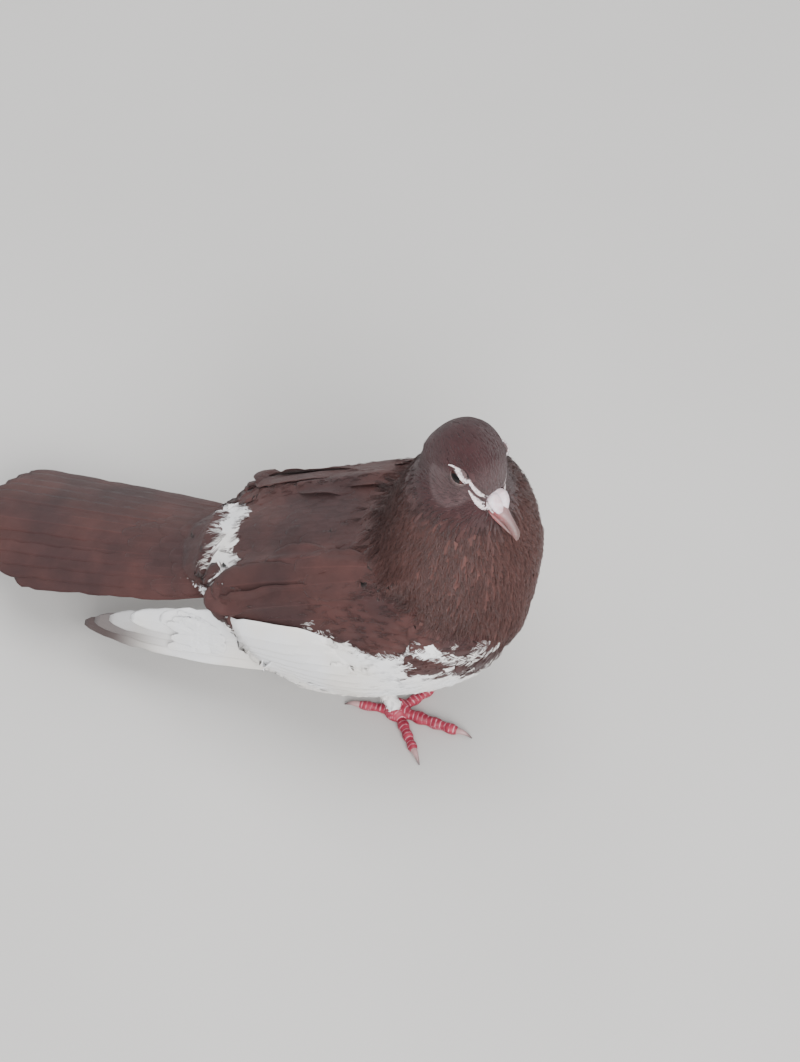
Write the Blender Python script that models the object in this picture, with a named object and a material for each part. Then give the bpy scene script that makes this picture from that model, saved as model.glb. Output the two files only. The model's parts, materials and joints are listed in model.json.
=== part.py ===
"""Domestic pigeon standing at rest, head turned to its right: a life-size still model.

The bird faces +X, its left side is +Y, and the floor is z = 0. Blender units are metres, and the
dimensions below are millimetres measured from the point midway between the balls of the feet.
The last step moves the whole bird so that the origin is at the middle of its footprint.

Flesh is blended as one form and then parted into head, neck and trunk with thin plane cuts. Wings,
tail, legs, bill and eyes are solids of their own, and what they meet is cut back by GAP.
"""

import math

import bmesh
import bpy
from mathutils import Matrix, Vector

MM = 0.001
GAP = 0.35  # clearance between neighbouring solids
VOXEL = 3.0  # grain of the blended flesh
HALF_SPACE = 600.0  # side of the block that parts the flesh
SHARPEST = 1.8  # most that a sharp corner of a cutter is pushed out, as a multiple of the clearance
WELD = 0.02  # points nearer than this become one
SIDES = {"right": -1, "left": 1}
AHEAD, ACROSS, UP = (Vector(axis) for axis in ((1, 0, 0), (0, 1, 0), (0, 0, 1)))

# --- body, as stations along x: lowest z, highest z, half width ---
TRUNK = [
    (-108, 44, 55, 13),
    (-94, 39, 66, 22),
    (-68, 34, 82, 31),
    (-36, 31, 98, 41),
    (-4, 33, 111, 45),
    (23, 40, 118, 43),
    (42, 52, 115, 35),
    (52, 66, 104, 23),
]
# Neck rings: x and z of the middle, half depth, half width, lean of the ring in degrees.
NECK = [
    (19, 84, 36, 42, 24),
    (21, 107, 34, 44, 14),
    (20, 122, 29, 39, 6),
    (17, 136, 23, 27, 0),
    (17, 147, 16, 18, 0),
]

# --- head: its middle, where it looks, and stations along its own axis ---
HEAD_CENTRE = (22.2, 3.7, 150)
HEAD_TURN, HEAD_DROP = -31.0, 24.0  # degrees to the left, and below level
HEAD_ROLL = -16.0  # degrees; below zero the right side is up
# forward, lift of the middle, half height, half width
HEAD = [
    (-20, -2, 6, 7),
    (-16, -1, 13, 13.6),
    (-8, 0, 17.5, 16.8),
    (1, 0, 17.5, 16.8),
    (9, -1, 14.5, 13.8),
    (14.5, -2.5, 10, 9.5),
    (18, -4, 6, 6),
]
EYE = (2.0, 12.8, 4.5)  # forward, out and up in the head's frame
EYE_RADIUS = 4.4
BILL_ROOT = 13.0  # forward, where the bill enters the feathers
BILL_LINE = -4.5  # height of the gape in the head's frame
# Forward of the root, above the gape line, half height, half width.
BILL_UPPER = [
    (0, 1.6, 3.0, 5.0),
    (5, 1.8, 3.0, 4.9),
    (10, 1.4, 2.6, 3.9),
    (15.5, 0.9, 2.2, 2.6),
    (20.5, -0.1, 1.7, 1.8),
    (22.5, -1.6, 0.6, 0.6),
]
BILL_LOWER = [
    (0, -1.9, 1.9, 4.5),
    (5, -1.8, 1.8, 4.2),
    (11, -1.6, 1.5, 3.0),
    (18.5, -1.6, 0.9, 1.3),
    (19.7, -1.8, 0.4, 0.5),
]
CERE = [
    (1, 4.6, 1.8, 3.6),
    (4, 4.9, 2.8, 5.6),
    (7.5, 4.0, 2.6, 5.2),
    (10, 3.0, 1.6, 3.6),
    (11, 2.7, 1.0, 2.4),
]
BILL_FLAT = 0.6  # how far a ring falls below its middle, as a share of its rise

# --- where the flesh is parted ---
THROAT = (6, 0, -15)  # in the head's frame
THROAT_TILT = 0.45
NECK_BASE = (18, 0, 108)
NECK_LEAN = (0.30, 0, 0.954)

# --- wing: each row is a curve from its top edge over its side to its lower edge ---
# x of the top, x of the lower edge, then (y, z) at the top, on the side and at the lower edge, thickness
WING = [
    (47, 45, (28, 80), (30, 74), (24, 64), 3.0),
    (39, 37, (37, 90), (41, 77), (31, 56), 6.0),
    (20, 19, (43, 101), (51, 79), (40, 48), 7.0),
    (-8, -6, (28, 107), (53, 74), (43, 40), 7.0),
    (-38, -24, (21, 98), (46, 68), (47, 38), 6.0),
    (-66, -36, (21, 83), (40, 62), (47, 38), 5.0),
    (-82, -44, (23, 71), (37, 57), (46, 39), 3.0),
]
WING_ROW_POINTS = 8
WING_CLEAR = 20.0  # how far out from a wing no flesh is left
WING_EDGE = 0.35  # thickness left at its edges, as a share
# primaries: x, then (y, z) of the upper and the lower edge, thickness
WING_TIP = [
    (-24, (37, 60), (41, 44), 2.2),
    (-50, (35, 57), (43, 37), 3.0),
    (-80, (32, 48), (43, 31), 3.0),
    (-112, (29, 38), (40, 26), 2.6),
    (-136, (28, 31), (36, 23), 2.0),
    (-147, (30, 27), (34, 23), 1.4),
]
# The blade's section: share of the way from upper to lower edge, share of the half thickness.
BLADE_SECTION = ((0, 0.3), (0.3, 1), (0.7, 1), (1, 0.3), (1, -0.3), (0.7, -1), (0.3, -1), (0, -0.3))

# --- tail ---
TAIL_ROOT = (-80, 62)  # x, z
TAIL_TIP = (-206, 33)
TAIL_ROOT_HALF, TAIL_TIP_HALF = 25.0, 35.0
TAIL_SWING = 3.0  # degrees that the tail is carried to the left
TAIL_ARCH = 7.0  # how far the sides droop below the middle
TAIL_THICK_ROOT, TAIL_THICK_TIP = 5.5, 2.3
TAIL_ROUND = {"right": 0.34, "left": 0.12}  # how much shorter the outermost feathers are
TAIL_STATIONS = 7
RECTRICES = 12
NOTCH = 0.02  # how far the vanes part at the end, as a share of the length
VANE_STEP = 0.7  # step from one feather down to the next

# --- legs and feet ---
FOOT_SPREAD = 25.0  # from the middle of the body to the ball of a foot
FOOT_SHIFT = {"right": 0.0, "left": -5.0}
BALL_RADIUS = 5.6
HOCK = (-13.0, 27.0)  # behind and above the ball
KNEE = (-1.0, 44.0)
ANKLE = 4.0  # height at which the shank meets the ball
SHANK = ((0, 5.6), (0.25, 5.0), (0.5, 4.2), (0.75, 3.9), (0.9, 4.2))  # share of the way down, radius
BALL = ((4.2, 0.95), (2.2, 1.0), (0.8, 0.9), (0, 0.7))  # height, share of the radius
THIGH = ((-0.1, 5.0), (0.1, 7.5), (0.4, 10.5), (0.8, 13.0), (1.1, 14.0))  # share from hock to knee, radius
# name: heading in degrees (positive towards the other foot), length to the claw, radius, claw length
TOES = {
    "middle": (-6.0, 29.0, 2.9, 6.5),
    "inner": (52.0, 19.5, 2.6, 6.0),
    "outer": (-54.0, 22.5, 2.6, 6.5),
    "hind": (186.0, 17.5, 2.4, 6.0),
}
TOE_SECTIONS = 6
JOINT_SWELL = 0.16  # how much a toe thickens at its pads
CLAW_RADIUS = 1.6
CLAW_TIP = 0.6  # height of its point

FINISHES = {
    "plumage_brown": ((0.135, 0.07, 0.055), 0.75),
    "plumage_white": ((0.74, 0.70, 0.68), 0.75),
    "foot_skin": ((0.55, 0.13, 0.16), 0.5),
    "bill_horn": ((0.75, 0.52, 0.50), 0.4),
    "cere_powder": ((0.85, 0.80, 0.78), 0.8),
    "claw_horn": ((0.36, 0.22, 0.22), 0.35),
    "eye_gloss": ((0.03, 0.015, 0.01), 0.08),
}


# --- helpers ---
def clear_scene():
    for obj in list(bpy.data.objects):
        bpy.data.objects.remove(obj, do_unlink=True)


def finish(obj, slot):
    """Give an object its own material of the named finish."""
    colour, roughness = FINISHES[slot]
    made = bpy.data.materials.new(f"{slot}_{obj.name}")
    made.use_nodes = True
    shader = made.node_tree.nodes["Principled BSDF"]
    shader.inputs["Base Color"].default_value = (*colour, 1)
    shader.inputs["Roughness"].default_value = roughness
    shader.inputs["Metallic"].default_value = 0.0
    obj.data.materials.clear()
    obj.data.materials.append(made)
    obj.data.shade_smooth()
    obj.data.set_sharp_from_angle(angle=math.radians(50))
    return obj


def new_object(name, build):
    bmesh.ops.recalc_face_normals(build, faces=build.faces[:])
    mesh = bpy.data.meshes.new(name)
    build.to_mesh(mesh)
    build.free()
    obj = bpy.data.objects.new(name, mesh)
    bpy.context.scene.collection.objects.link(obj)
    return obj


def spline(stations, count):
    """Count values along a Catmull-Rom curve through the stations."""
    rows = [Vector(s) for s in stations]
    rows = [rows[0] * 2 - rows[1], *rows, rows[-1] * 2 - rows[-2]]
    found = []
    for i in range(count):
        at = i / (count - 1) * (len(stations) - 1)
        k = min(int(at), len(stations) - 2)
        t = at - k
        a, b, c, d = rows[k : k + 4]
        linear = (c - a) * t
        square = (2 * a - 5 * b + 4 * c - d) * t * t
        cube = (3 * b - a - 3 * c + d) * t**3
        found.append(0.5 * (2 * b + linear + square + cube))
    return found


def loft(name, rings):
    """Rings of points, all with as many points, joined in order, with a fan at each end."""
    build = bmesh.new()
    made = [[build.verts.new(Vector(p) * MM) for p in ring] for ring in rings]
    sides = len(made[0])
    for first, second in zip(made, made[1:]):
        for i in range(sides):
            j = (i + 1) % sides
            build.faces.new((first[i], first[j], second[j], second[i]))
    for ring in (made[0], made[-1]):
        middle = build.verts.new(sum((v.co for v in ring), Vector()) / sides)
        for i in range(sides):
            build.faces.new((ring[i], ring[(i + 1) % sides], middle))
    return new_object(name, build)


def oval(centre, across, up, half_width, rise, fall, sides):
    """A ring that reaches rise above and fall below its middle."""
    ring = []
    for i in range(sides):
        angle = 2 * math.pi * i / sides
        tall = rise if math.sin(angle) > 0 else fall
        ring.append(centre + across * (half_width * math.cos(angle)) + up * (tall * math.sin(angle)))
    return ring


def apply_modifiers(obj):
    graph = bpy.context.evaluated_depsgraph_get()
    mesh = bpy.data.meshes.new_from_object(obj.evaluated_get(graph))
    obj.modifiers.clear()
    obj.data = mesh


def remove(*objects):
    for obj in objects:
        bpy.data.objects.remove(obj, do_unlink=True)


def boolean(obj, other, operation, solver="EXACT"):
    modifier = obj.modifiers.new(operation, "BOOLEAN")
    modifier.operation = operation
    modifier.object = other
    modifier.solver = solver
    apply_modifiers(obj)


def swollen(obj, by):
    """A copy whose faces stand out by a small distance."""
    build = bmesh.new()
    build.from_mesh(obj.data)
    build.normal_update()
    moves = [v.normal * by * MM * min(v.calc_shell_factor(), SHARPEST) for v in build.verts]
    for vert, move in zip(build.verts, moves):
        vert.co += move
    return new_object(obj.name + "_room", build)


def make_room(obj, *others, by=GAP):
    """Cut an object back so that it clears the others."""
    for other in others:
        cutter = swollen(other, by)
        boolean(obj, cutter, "DIFFERENCE", "MANIFOLD")  # EXACT loses the body at the crowded face
        remove(cutter)
    keep_largest(obj)


def keep_largest(obj):
    """Drop loose crumbs that a cut leaves, and close up needle-thin faces."""
    build = bmesh.new()
    build.from_mesh(obj.data)
    bmesh.ops.triangulate(build, faces=build.faces[:])
    bmesh.ops.remove_doubles(build, verts=build.verts[:], dist=WELD * MM)
    islands = []
    left = set(build.verts)
    while left:
        seed = left.pop()
        island, queue = {seed}, [seed]
        while queue:
            for edge in queue.pop().link_edges:
                for vert in edge.verts:
                    if vert not in island:
                        island.add(vert)
                        queue.append(vert)
        left -= island
        islands.append(island)
    biggest = max(islands, key=len)
    bmesh.ops.delete(build, geom=[v for v in build.verts if v not in biggest], context="VERTS")
    build.to_mesh(obj.data)
    build.free()


def keep_side(name, source, point, normal):
    """A closed copy of what lies on the side of a plane that its normal points to."""
    build = bmesh.new()
    bmesh.ops.create_cube(build, size=HALF_SPACE * MM)
    block = new_object("half_space", build)
    turn = Vector(normal).to_track_quat("Z", "Y").to_matrix().to_4x4()
    middle = Vector(point) + Vector(normal).normalized() * (HALF_SPACE / 2)
    block.data.transform(Matrix.Translation(middle * MM) @ turn)
    obj = bpy.data.objects.new(name, source.data.copy())
    bpy.context.scene.collection.objects.link(obj)
    boolean(obj, block, "INTERSECT", "MANIFOLD")
    remove(block)
    keep_largest(obj)
    return obj


# --- flesh ---
def trunk_form():
    rings = []
    for x, low, high, half in spline(TRUNK, 22):
        tall = (high - low) / 2
        rings.append(oval(Vector((x, 0, low + tall)), ACROSS, UP, half, tall, tall, 28))
    return loft("trunk_form", rings)


def neck_form():
    rings = []
    for x, z, deep, wide, lean in spline(NECK, 12):
        tilt = math.radians(lean)
        along = Vector((math.cos(tilt), 0, -math.sin(tilt)))
        rings.append(oval(Vector((x, 0, z)), ACROSS, along, wide, deep, deep, 24))
    return loft("neck_form", rings)


def head_axes():
    """Forward, left and up of the head."""
    turn = Matrix.Identity(3)
    for angle, axis in ((HEAD_TURN, "Z"), (HEAD_DROP, "Y"), (HEAD_ROLL, "X")):
        turn = turn @ Matrix.Rotation(math.radians(angle), 3, axis)
    return turn.col[0].copy(), turn.col[1].copy(), turn.col[2].copy()


def in_head(forward, left, up):
    ahead, side, rise = head_axes()
    return Vector(HEAD_CENTRE) + ahead * forward + side * left + rise * up


def head_form():
    ahead, side, rise = head_axes()
    rings = []
    for forward, lift, tall, wide in spline(HEAD, 16):
        rings.append(oval(in_head(forward, 0, lift), side, rise, wide, tall, tall, 22))
    return loft("head_form", rings)


def body_form():
    """Trunk, neck and head blended into one smooth form."""
    body = trunk_form()
    for other in (neck_form(), head_form()):
        boolean(body, other, "UNION")
        remove(other)
    blend = body.modifiers.new("blend", "REMESH")
    blend.mode = "VOXEL"
    blend.voxel_size = VOXEL * MM
    ease = body.modifiers.new("ease", "SMOOTH")
    ease.factor = 0.5
    ease.iterations = 5
    thin = body.modifiers.new("thin", "DECIMATE")
    thin.ratio = 0.14
    apply_modifiers(body)
    return body


# --- head details ---
def eye(side):
    build = bmesh.new()
    bmesh.ops.create_uvsphere(build, u_segments=12, v_segments=7, radius=EYE_RADIUS * MM)
    forward, out, up = EYE
    obj = new_object(f"eye_{side}", build)
    obj.data.transform(Matrix.Translation(in_head(forward, out * SIDES[side], up) * MM))
    return finish(obj, "eye_gloss")


def bill_piece(name, stations, slot):
    """A piece of the bill, from stations counted from its root and its gape line."""
    side, rise = head_axes()[1:]
    rings = []
    for forward, lift, tall, wide in spline(stations, 8):
        centre = in_head(BILL_ROOT + forward, 0, BILL_LINE + lift)
        rings.append(oval(centre, side, rise, wide, tall, tall * BILL_FLAT, 10))
    return finish(loft(name, rings), slot)


def bill(body):
    """Both halves of the bill and the cere, set into the face."""
    upper = bill_piece("bill_upper", BILL_UPPER, "bill_horn")
    lower = bill_piece("bill_lower", BILL_LOWER, "bill_horn")
    cere = bill_piece("cere", CERE, "cere_powder")
    make_room(body, upper, lower, cere)
    make_room(lower, upper)
    make_room(cere, upper)


# --- wings and tail ---
def bend(top, side, low, t):
    """A point on the smooth curve through three points."""
    knee = side * 2 - (top + low) / 2
    return top * (1 - t) ** 2 + knee * (2 * t * (1 - t)) + low * t * t


def wing_ring(row, hand, clear):
    """Outer points from top to lower edge, then inner points back; clear moves the outer ones away."""
    x_top, x_low, thick = row[0], row[1], row[8]
    top, side, low = Vector(row[2:4]), Vector(row[4:6]), Vector(row[6:8])
    outer, inner = [], []
    for i in range(WING_ROW_POINTS):
        t = i / (WING_ROW_POINTS - 1)
        at = bend(top, side, low, t)
        along = bend(top, side, low, t + 0.01) - bend(top, side, low, t - 0.01)
        out = Vector((-along.y, along.x)).normalized()
        half = thick / 2 * (WING_EDGE + (1 - WING_EDGE) * math.sin(math.pi * t) ** 0.5)
        x = x_top + (x_low - x_top) * t * t
        outer.append(Vector((x, hand * (at.x + out.x * (half + clear)), at.y + out.y * (half + clear))))
        inner.append(Vector((x, hand * (at.x - out.x * half), at.y - out.y * half)))
    return outer + inner[::-1]


def wing_form(name, side, clear=0.0):
    rows = [(a, b, *top, *middle, *low, thick) for a, b, top, middle, low, thick in WING]
    return loft(name, [wing_ring(row, SIDES[side], clear) for row in spline(rows, 13)])


def wing(side, body):
    """The folded wing, with the flesh beneath and outside it cleared away."""
    outside = wing_form("outside", side, WING_CLEAR)
    make_room(body, outside, by=2 * GAP)
    remove(outside)
    return finish(wing_form(f"wing_{side}", side), "plumage_brown")


def wing_tip(side):
    """The folded primaries: a long blade that leans against the flank."""
    hand = SIDES[side]
    rings = []
    for x, top_y, top_z, low_y, low_z, thick in spline([(a, *b, *c, d) for a, b, c, d in WING_TIP], 12):
        top, low = Vector((top_y, top_z)), Vector((low_y, low_z))
        out = Vector((top.y - low.y, low.x - top.x)).normalized() * thick / 2
        ring = []
        for across, off in BLADE_SECTION:
            at = top.lerp(low, across) + out * off
            ring.append(Vector((x + 10 * across * (1 - across), hand * at.x, at.y)))
        rings.append(ring)
    return finish(loft(f"wing_tip_{side}", rings), "plumage_white")


def tail_row(t):
    """Upper and lower points across the tail, at a share t of its length."""
    half = TAIL_ROOT_HALF + (TAIL_TIP_HALF - TAIL_ROOT_HALF) * t**0.8
    thick = TAIL_THICK_ROOT + (TAIL_THICK_TIP - TAIL_THICK_ROOT) * t
    root, tip = Vector(TAIL_ROOT), Vector(TAIL_TIP)
    top, under = [], []
    for k in range(-RECTRICES, RECTRICES + 1):
        across = k / RECTRICES
        side = "left" if across > 0 else "right"
        notch = NOTCH if k % 2 == 0 else 0
        length = 1 - notch - TAIL_ROUND[side] * abs(across) ** 2.2
        at = root.lerp(tip, t * length)
        feather = min(abs(k) // 2, RECTRICES // 2 - 1)
        fall = TAIL_ARCH * across * across + VANE_STEP * feather * (0.3 + 0.7 * t)
        top.append(Vector((at.x, half * across, at.y - fall)))
        under.append(top[-1] - UP * (thick * (1 - 0.6 * across * across)))
    return top + under[::-1]


def tail():
    """The rectrices overlapping like slates, the middle pair on top."""
    obj = loft("tail", [tail_row(i / (TAIL_STATIONS - 1)) for i in range(TAIL_STATIONS)])
    hinge = Matrix.Translation((TAIL_ROOT[0] * MM, 0, 0))
    obj.data.transform(hinge @ Matrix.Rotation(math.radians(-TAIL_SWING), 4, "Z") @ hinge.inverted())
    return finish(obj, "plumage_brown")


# --- legs ---
def tube(name, stations, sides, floor=False):
    """A tube through (point, radius) stations; with floor, it is flattened where it meets z = 0."""
    rings = []
    for i, (at, radius) in enumerate(stations):
        before = stations[max(i - 1, 0)][0]
        after = stations[min(i + 1, len(stations) - 1)][0]
        along = (after - before).normalized()
        across = along.cross(UP).normalized()
        up = across.cross(along)
        ring = oval(at, across, up, radius, radius, radius, sides)
        if floor:
            ring = [Vector((at.x, at.y, max(at.z, 0))) for at in ring]
        rings.append(ring)
    return loft(name, rings)


def ball_of_foot(side):
    return Vector((FOOT_SHIFT[side], SIDES[side] * FOOT_SPREAD, 0))


def hock_of(side):
    return ball_of_foot(side) + Vector((HOCK[0], 0, HOCK[1]))


def level_ring(centre, radius):
    return oval(centre, ACROSS, AHEAD, radius, radius, radius, 12)


def shank(side):
    """The feathered lower leg, down to the ball of the foot and its flat underside."""
    ball = ball_of_foot(side)
    ankle = ball + UP * ANKLE
    rings = [level_ring(hock_of(side).lerp(ankle, t), radius) for t, radius in SHANK]
    rings += [level_ring(ball + UP * z, BALL_RADIUS * share) for z, share in BALL]
    return finish(loft(f"shank_{side}", rings), "plumage_white")


def thigh(side):
    knee = ball_of_foot(side) + Vector((KNEE[0], 0, KNEE[1]))
    stations = [(hock_of(side).lerp(knee, t), radius) for t, radius in THIGH]
    return finish(tube(f"thigh_{side}", stations, 12), "plumage_white")


def toe(side, name):
    """A toe with swollen pads and, beyond it, its claw."""
    heading, length, radius, claw_length = TOES[name]
    angle = math.radians(-SIDES[side] * heading)
    ahead = Vector((math.cos(angle), math.sin(angle), 0))
    ball = ball_of_foot(side)
    inside, height = 3.0, radius * 0.8  # it starts inside the ball, a little lower than its radius
    stations = []
    for i in range(TOE_SECTIONS + 1):
        t = i / TOE_SECTIONS
        swell = 1 - JOINT_SWELL * math.cos(6 * math.pi * t)
        taper = 0.8 + 0.24 * min(t * 3, 1) - 0.32 * t
        at = ball + ahead * (inside + (length - inside) * t) + UP * height
        stations.append((at, radius * swell * taper))
    made = finish(tube(f"toe_{name}_{side}", stations, 8, floor=True), "foot_skin")
    start = ball + ahead * (length + GAP) + UP * height
    curve = []
    for i in range(4):
        t = i / 3
        lift = 0.5 * math.sin(math.pi * t) - (height - CLAW_TIP) * t * t
        at = start + ahead * (claw_length * t) + UP * lift
        curve.append((at, CLAW_RADIUS * (1 - 0.84 * t)))
    finish(tube(f"claw_{name}_{side}", curve, 7), "claw_horn")
    return made


# --- the whole bird ---
def part_body(body):
    """Head, neck and trunk, with a thin plane cut between each pair."""
    ahead = head_axes()[0]
    throat = in_head(*THROAT)
    up = Vector((ahead.x * THROAT_TILT, ahead.y * THROAT_TILT, 1)).normalized()
    head = keep_side("head", body, throat + up * GAP / 2, up)
    rest = keep_side("rest", body, throat - up * GAP / 2, -up)
    base, lean = Vector(NECK_BASE), Vector(NECK_LEAN)
    neck = keep_side("neck", rest, base + lean * GAP / 2, lean)
    trunk = keep_side("trunk", rest, base - lean * GAP / 2, -lean)
    remove(body, rest)
    for obj in (head, neck, trunk):
        finish(obj, "plumage_brown")


def centre_footprint():
    """Move every solid so that the origin is at the bottom centre of the bird's box."""
    solids = [o for o in bpy.data.objects if o.type == "MESH"]
    corners = [v.co for o in solids for v in o.data.vertices]
    middle = [(min(c[i] for c in corners) + max(c[i] for c in corners)) / 2 for i in (0, 1)]
    shift = Matrix.Translation((-middle[0], -middle[1], 0))
    for obj in solids:
        obj.data.transform(shift)


def main():
    clear_scene()
    body = body_form()
    body.name = "body"
    bill(body)
    make_room(body, eye("right"), eye("left"), tail())
    for side in SIDES:
        blade, primaries = wing(side, body), wing_tip(side)
        upper_leg, lower_leg = thigh(side), shank(side)
        make_room(body, primaries, upper_leg)
        make_room(primaries, blade)
        make_room(upper_leg, lower_leg)
        for name in TOES:
            make_room(toe(side, name), lower_leg)
    part_body(body)
    centre_footprint()


main()
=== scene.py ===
# A brown and white pigeon: skin, feathers, bill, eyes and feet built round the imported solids.
import json
import math

import bmesh
import bpy
import numpy as np
from mathutils import Matrix, Vector
from mathutils.bvhtree import BVHTree


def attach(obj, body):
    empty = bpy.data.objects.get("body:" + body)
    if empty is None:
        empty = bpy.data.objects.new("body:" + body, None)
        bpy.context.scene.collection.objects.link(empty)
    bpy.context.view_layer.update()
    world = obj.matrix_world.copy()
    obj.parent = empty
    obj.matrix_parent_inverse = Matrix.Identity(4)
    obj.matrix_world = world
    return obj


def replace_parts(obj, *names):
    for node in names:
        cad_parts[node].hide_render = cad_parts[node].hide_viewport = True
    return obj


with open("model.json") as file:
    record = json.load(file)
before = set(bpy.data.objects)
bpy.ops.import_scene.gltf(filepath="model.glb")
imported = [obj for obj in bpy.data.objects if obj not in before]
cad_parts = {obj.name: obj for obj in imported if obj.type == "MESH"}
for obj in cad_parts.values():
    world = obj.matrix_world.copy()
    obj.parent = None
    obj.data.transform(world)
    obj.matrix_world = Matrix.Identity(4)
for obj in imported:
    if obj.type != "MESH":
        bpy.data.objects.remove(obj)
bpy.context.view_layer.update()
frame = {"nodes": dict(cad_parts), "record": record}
nodes = frame["nodes"]

mm = 0.001
sides = {"right": -1, "left": 1}
mounts = {mount["name"]: mount for mount in frame["record"]["mounts"]}
# Sizes below are millimetres, counted from the floor midway between the feet.
home = Vector(mounts["foot_right"]["pos_m"]) + Vector((0, 25 * mm, 0))
homeArray = np.array(home)

headPose = {"centre": (22.2, 3.7, 150), "turn": -31.0, "drop": 24.0, "roll": -16.0}


def place(x, y, z):
    return home + Vector((x, y, z)) * mm


def headAxes():
    turn = Matrix.Identity(3)
    for angle, axis in ((headPose["turn"], "Z"), (headPose["drop"], "Y"), (headPose["roll"], "X")):
        turn = turn @ Matrix.Rotation(math.radians(angle), 3, axis)
    return turn


headTurn = headAxes()


def inHead(forward, left, up):
    return place(*headPose["centre"]) + headTurn @ Vector((forward, left, up)) * mm


def toHead(points):
    # millimetres forward, left and up in the head's own frame
    return (points - np.array(headPose["centre"])) @ np.array(headTurn)


def toBird(point):
    return (np.array(point) - homeArray) / mm


def ease(low, high, value):
    # 0 below low, 1 above high, smooth between
    t = np.clip((np.asarray(value, float) - low) / (high - low), 0, 1)
    return t * t * (3 - 2 * t)


def unit(vectors):
    return vectors / np.maximum(np.linalg.norm(vectors, axis=-1, keepdims=True), 1e-12)


def hillNoise(points, size, seed):
    # cheap smooth noise: a few crossed waves, about -1 to 1
    rng = np.random.default_rng(seed)
    total = np.zeros(len(points))
    for _ in range(5):
        heading = unit(rng.normal(size=3))
        total += np.sin(points @ heading * (2 * math.pi / size) * rng.uniform(0.7, 1.5) + rng.uniform(0, 6.3))
    return total / 3


def linkObject(name, mesh):
    obj = bpy.data.objects.new(name, mesh)
    bpy.context.scene.collection.objects.link(obj)
    return obj


def bakeModifiers(obj):
    graph = bpy.context.evaluated_depsgraph_get()
    mesh = bpy.data.meshes.new_from_object(obj.evaluated_get(graph))
    obj.modifiers.clear()
    obj.data = mesh


def coordinates(mesh):
    flat = np.empty(len(mesh.vertices) * 3)
    mesh.vertices.foreach_get("co", flat)
    return flat.reshape(-1, 3)


def readAttribute(mesh, name, width=1):
    data = mesh.attributes[name].data
    values = np.empty(len(data) * width)
    data.foreach_get("value" if width == 1 else "vector", values)
    return values if width == 1 else values.reshape(-1, width)


def writeAttribute(mesh, name, values):
    flat = np.asarray(values, np.float32)
    kind = "FLOAT" if flat.ndim == 1 else "FLOAT_VECTOR"
    made = mesh.attributes.get(name) or mesh.attributes.new(name, kind, "POINT")
    made.data.foreach_set("value" if flat.ndim == 1 else "vector", flat.ravel())


def vertexNormals(mesh):
    normals = np.empty(len(mesh.vertices) * 3)
    mesh.vertex_normals.foreach_get("vector", normals)
    return normals.reshape(-1, 3)


def writeBakeMap(mesh, flat):
    # flat is the place of each point on the piece's only map
    corners = np.empty(len(mesh.loops), int)
    mesh.loops.foreach_get("vertex_index", corners)
    while mesh.uv_layers:
        mesh.uv_layers.remove(mesh.uv_layers[0])
    layer = mesh.uv_layers.new(name="OFBake")
    layer.data.foreach_set("uv", flat[corners].astype(np.float32).ravel())


def meshOf(form, name="part"):
    mesh = bpy.data.meshes.new(name)
    form.to_mesh(mesh)
    form.free()
    return mesh


def joinMeshes(name, parts):
    whole = bmesh.new()
    for part in parts:
        whole.from_mesh(part)
        bpy.data.meshes.remove(part)
    return meshOf(whole, name)


def solidMesh(name, verts, faces, marks):
    # a closed mesh with its faces outwards; marks are attributes of its points
    mesh = bpy.data.meshes.new(name)
    mesh.from_pydata([tuple(vert) for vert in verts], [], faces)
    for key, values in marks.items():
        writeAttribute(mesh, key, values)
    form = bmesh.new()
    form.from_mesh(mesh)
    bmesh.ops.triangulate(form, faces=[face for face in form.faces if len(face.verts) > 4])
    bmesh.ops.recalc_face_normals(form, faces=form.faces[:])
    form.to_mesh(mesh)
    form.free()
    mesh.shade_smooth()
    return mesh


def blendParts(piece, voxel, rounds):
    # overlapping parts melted into one skin and softened
    blend = piece.modifiers.new("blend", "REMESH")
    blend.mode = "VOXEL"
    blend.voxel_size = voxel * mm
    soften = piece.modifiers.new("soften", "SMOOTH")
    soften.factor = 0.5
    soften.iterations = rounds
    bakeModifiers(piece)


def dress(piece, material, slot, *replaced):
    # the finish and body of a piece, and the solids that it takes the place of; slot is not used
    piece.data.materials.clear()
    piece.data.materials.append(material)
    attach(piece, "root")
    if replaced:
        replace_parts(piece, *replaced)
    return piece


# Height on the wing at which the brown ends and the white begins, by place along the body. Below it, at the
# bend of the wing, lie brown stripes: how far below the border each begins and ends.
wingMarks = {
    "along": (-74, -55, -45, -37, -27, -14, 5, 18, 30, 46),
    "height": (58, 58, 66, 75, 82, 83, 84, 94, 90, 82),
    "wander": 1.8, "ragged": 1.3, "blend": 5,
    "stripesFrom": 10.0, "stripes": ((2.8, 8.8), (10.6, 16.5)),
}
belly = {"height": 50, "blend": 8, "rear": (-5, 30, 0.6), "breast": (10, 40, 1.6), "wander": 0.5}
rump = {
    "middle": -84.5, "slant": 0.22, "half": 5.0, "wander": 3.0, "uneven": 0.35, "blend": 3.5,
    "left": 17, "right": -31, "above": 50,
}
# The grey of the cheek in the head's frame, and painted light on the forehead before the brow.
cheek = {"centre": (1.5, -1.0), "size": (9.5, 7.0), "patch": 0.55, "rim": 0.6, "brow": 0.6}


def wingWhite(points):
    x, z = points[:, 0], points[:, 2]
    below = np.interp(x, wingMarks["along"], wingMarks["height"]) - z
    below += wingMarks["wander"] * hillNoise(points, 14, 3)
    below += wingMarks["ragged"] * hillNoise(points, 5.5, 6)
    white = 0.5 + below / wingMarks["blend"]
    for top, bottom in wingMarks["stripes"]:
        inside = np.minimum(below - top, bottom - below) + hillNoise(points, 9, 8)
        brown = ease(wingMarks["stripesFrom"], wingMarks["stripesFrom"] + 5, x) * ease(-0.6, 0.6, inside)
        white = np.minimum(white, 1 - brown)
    return white


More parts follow.
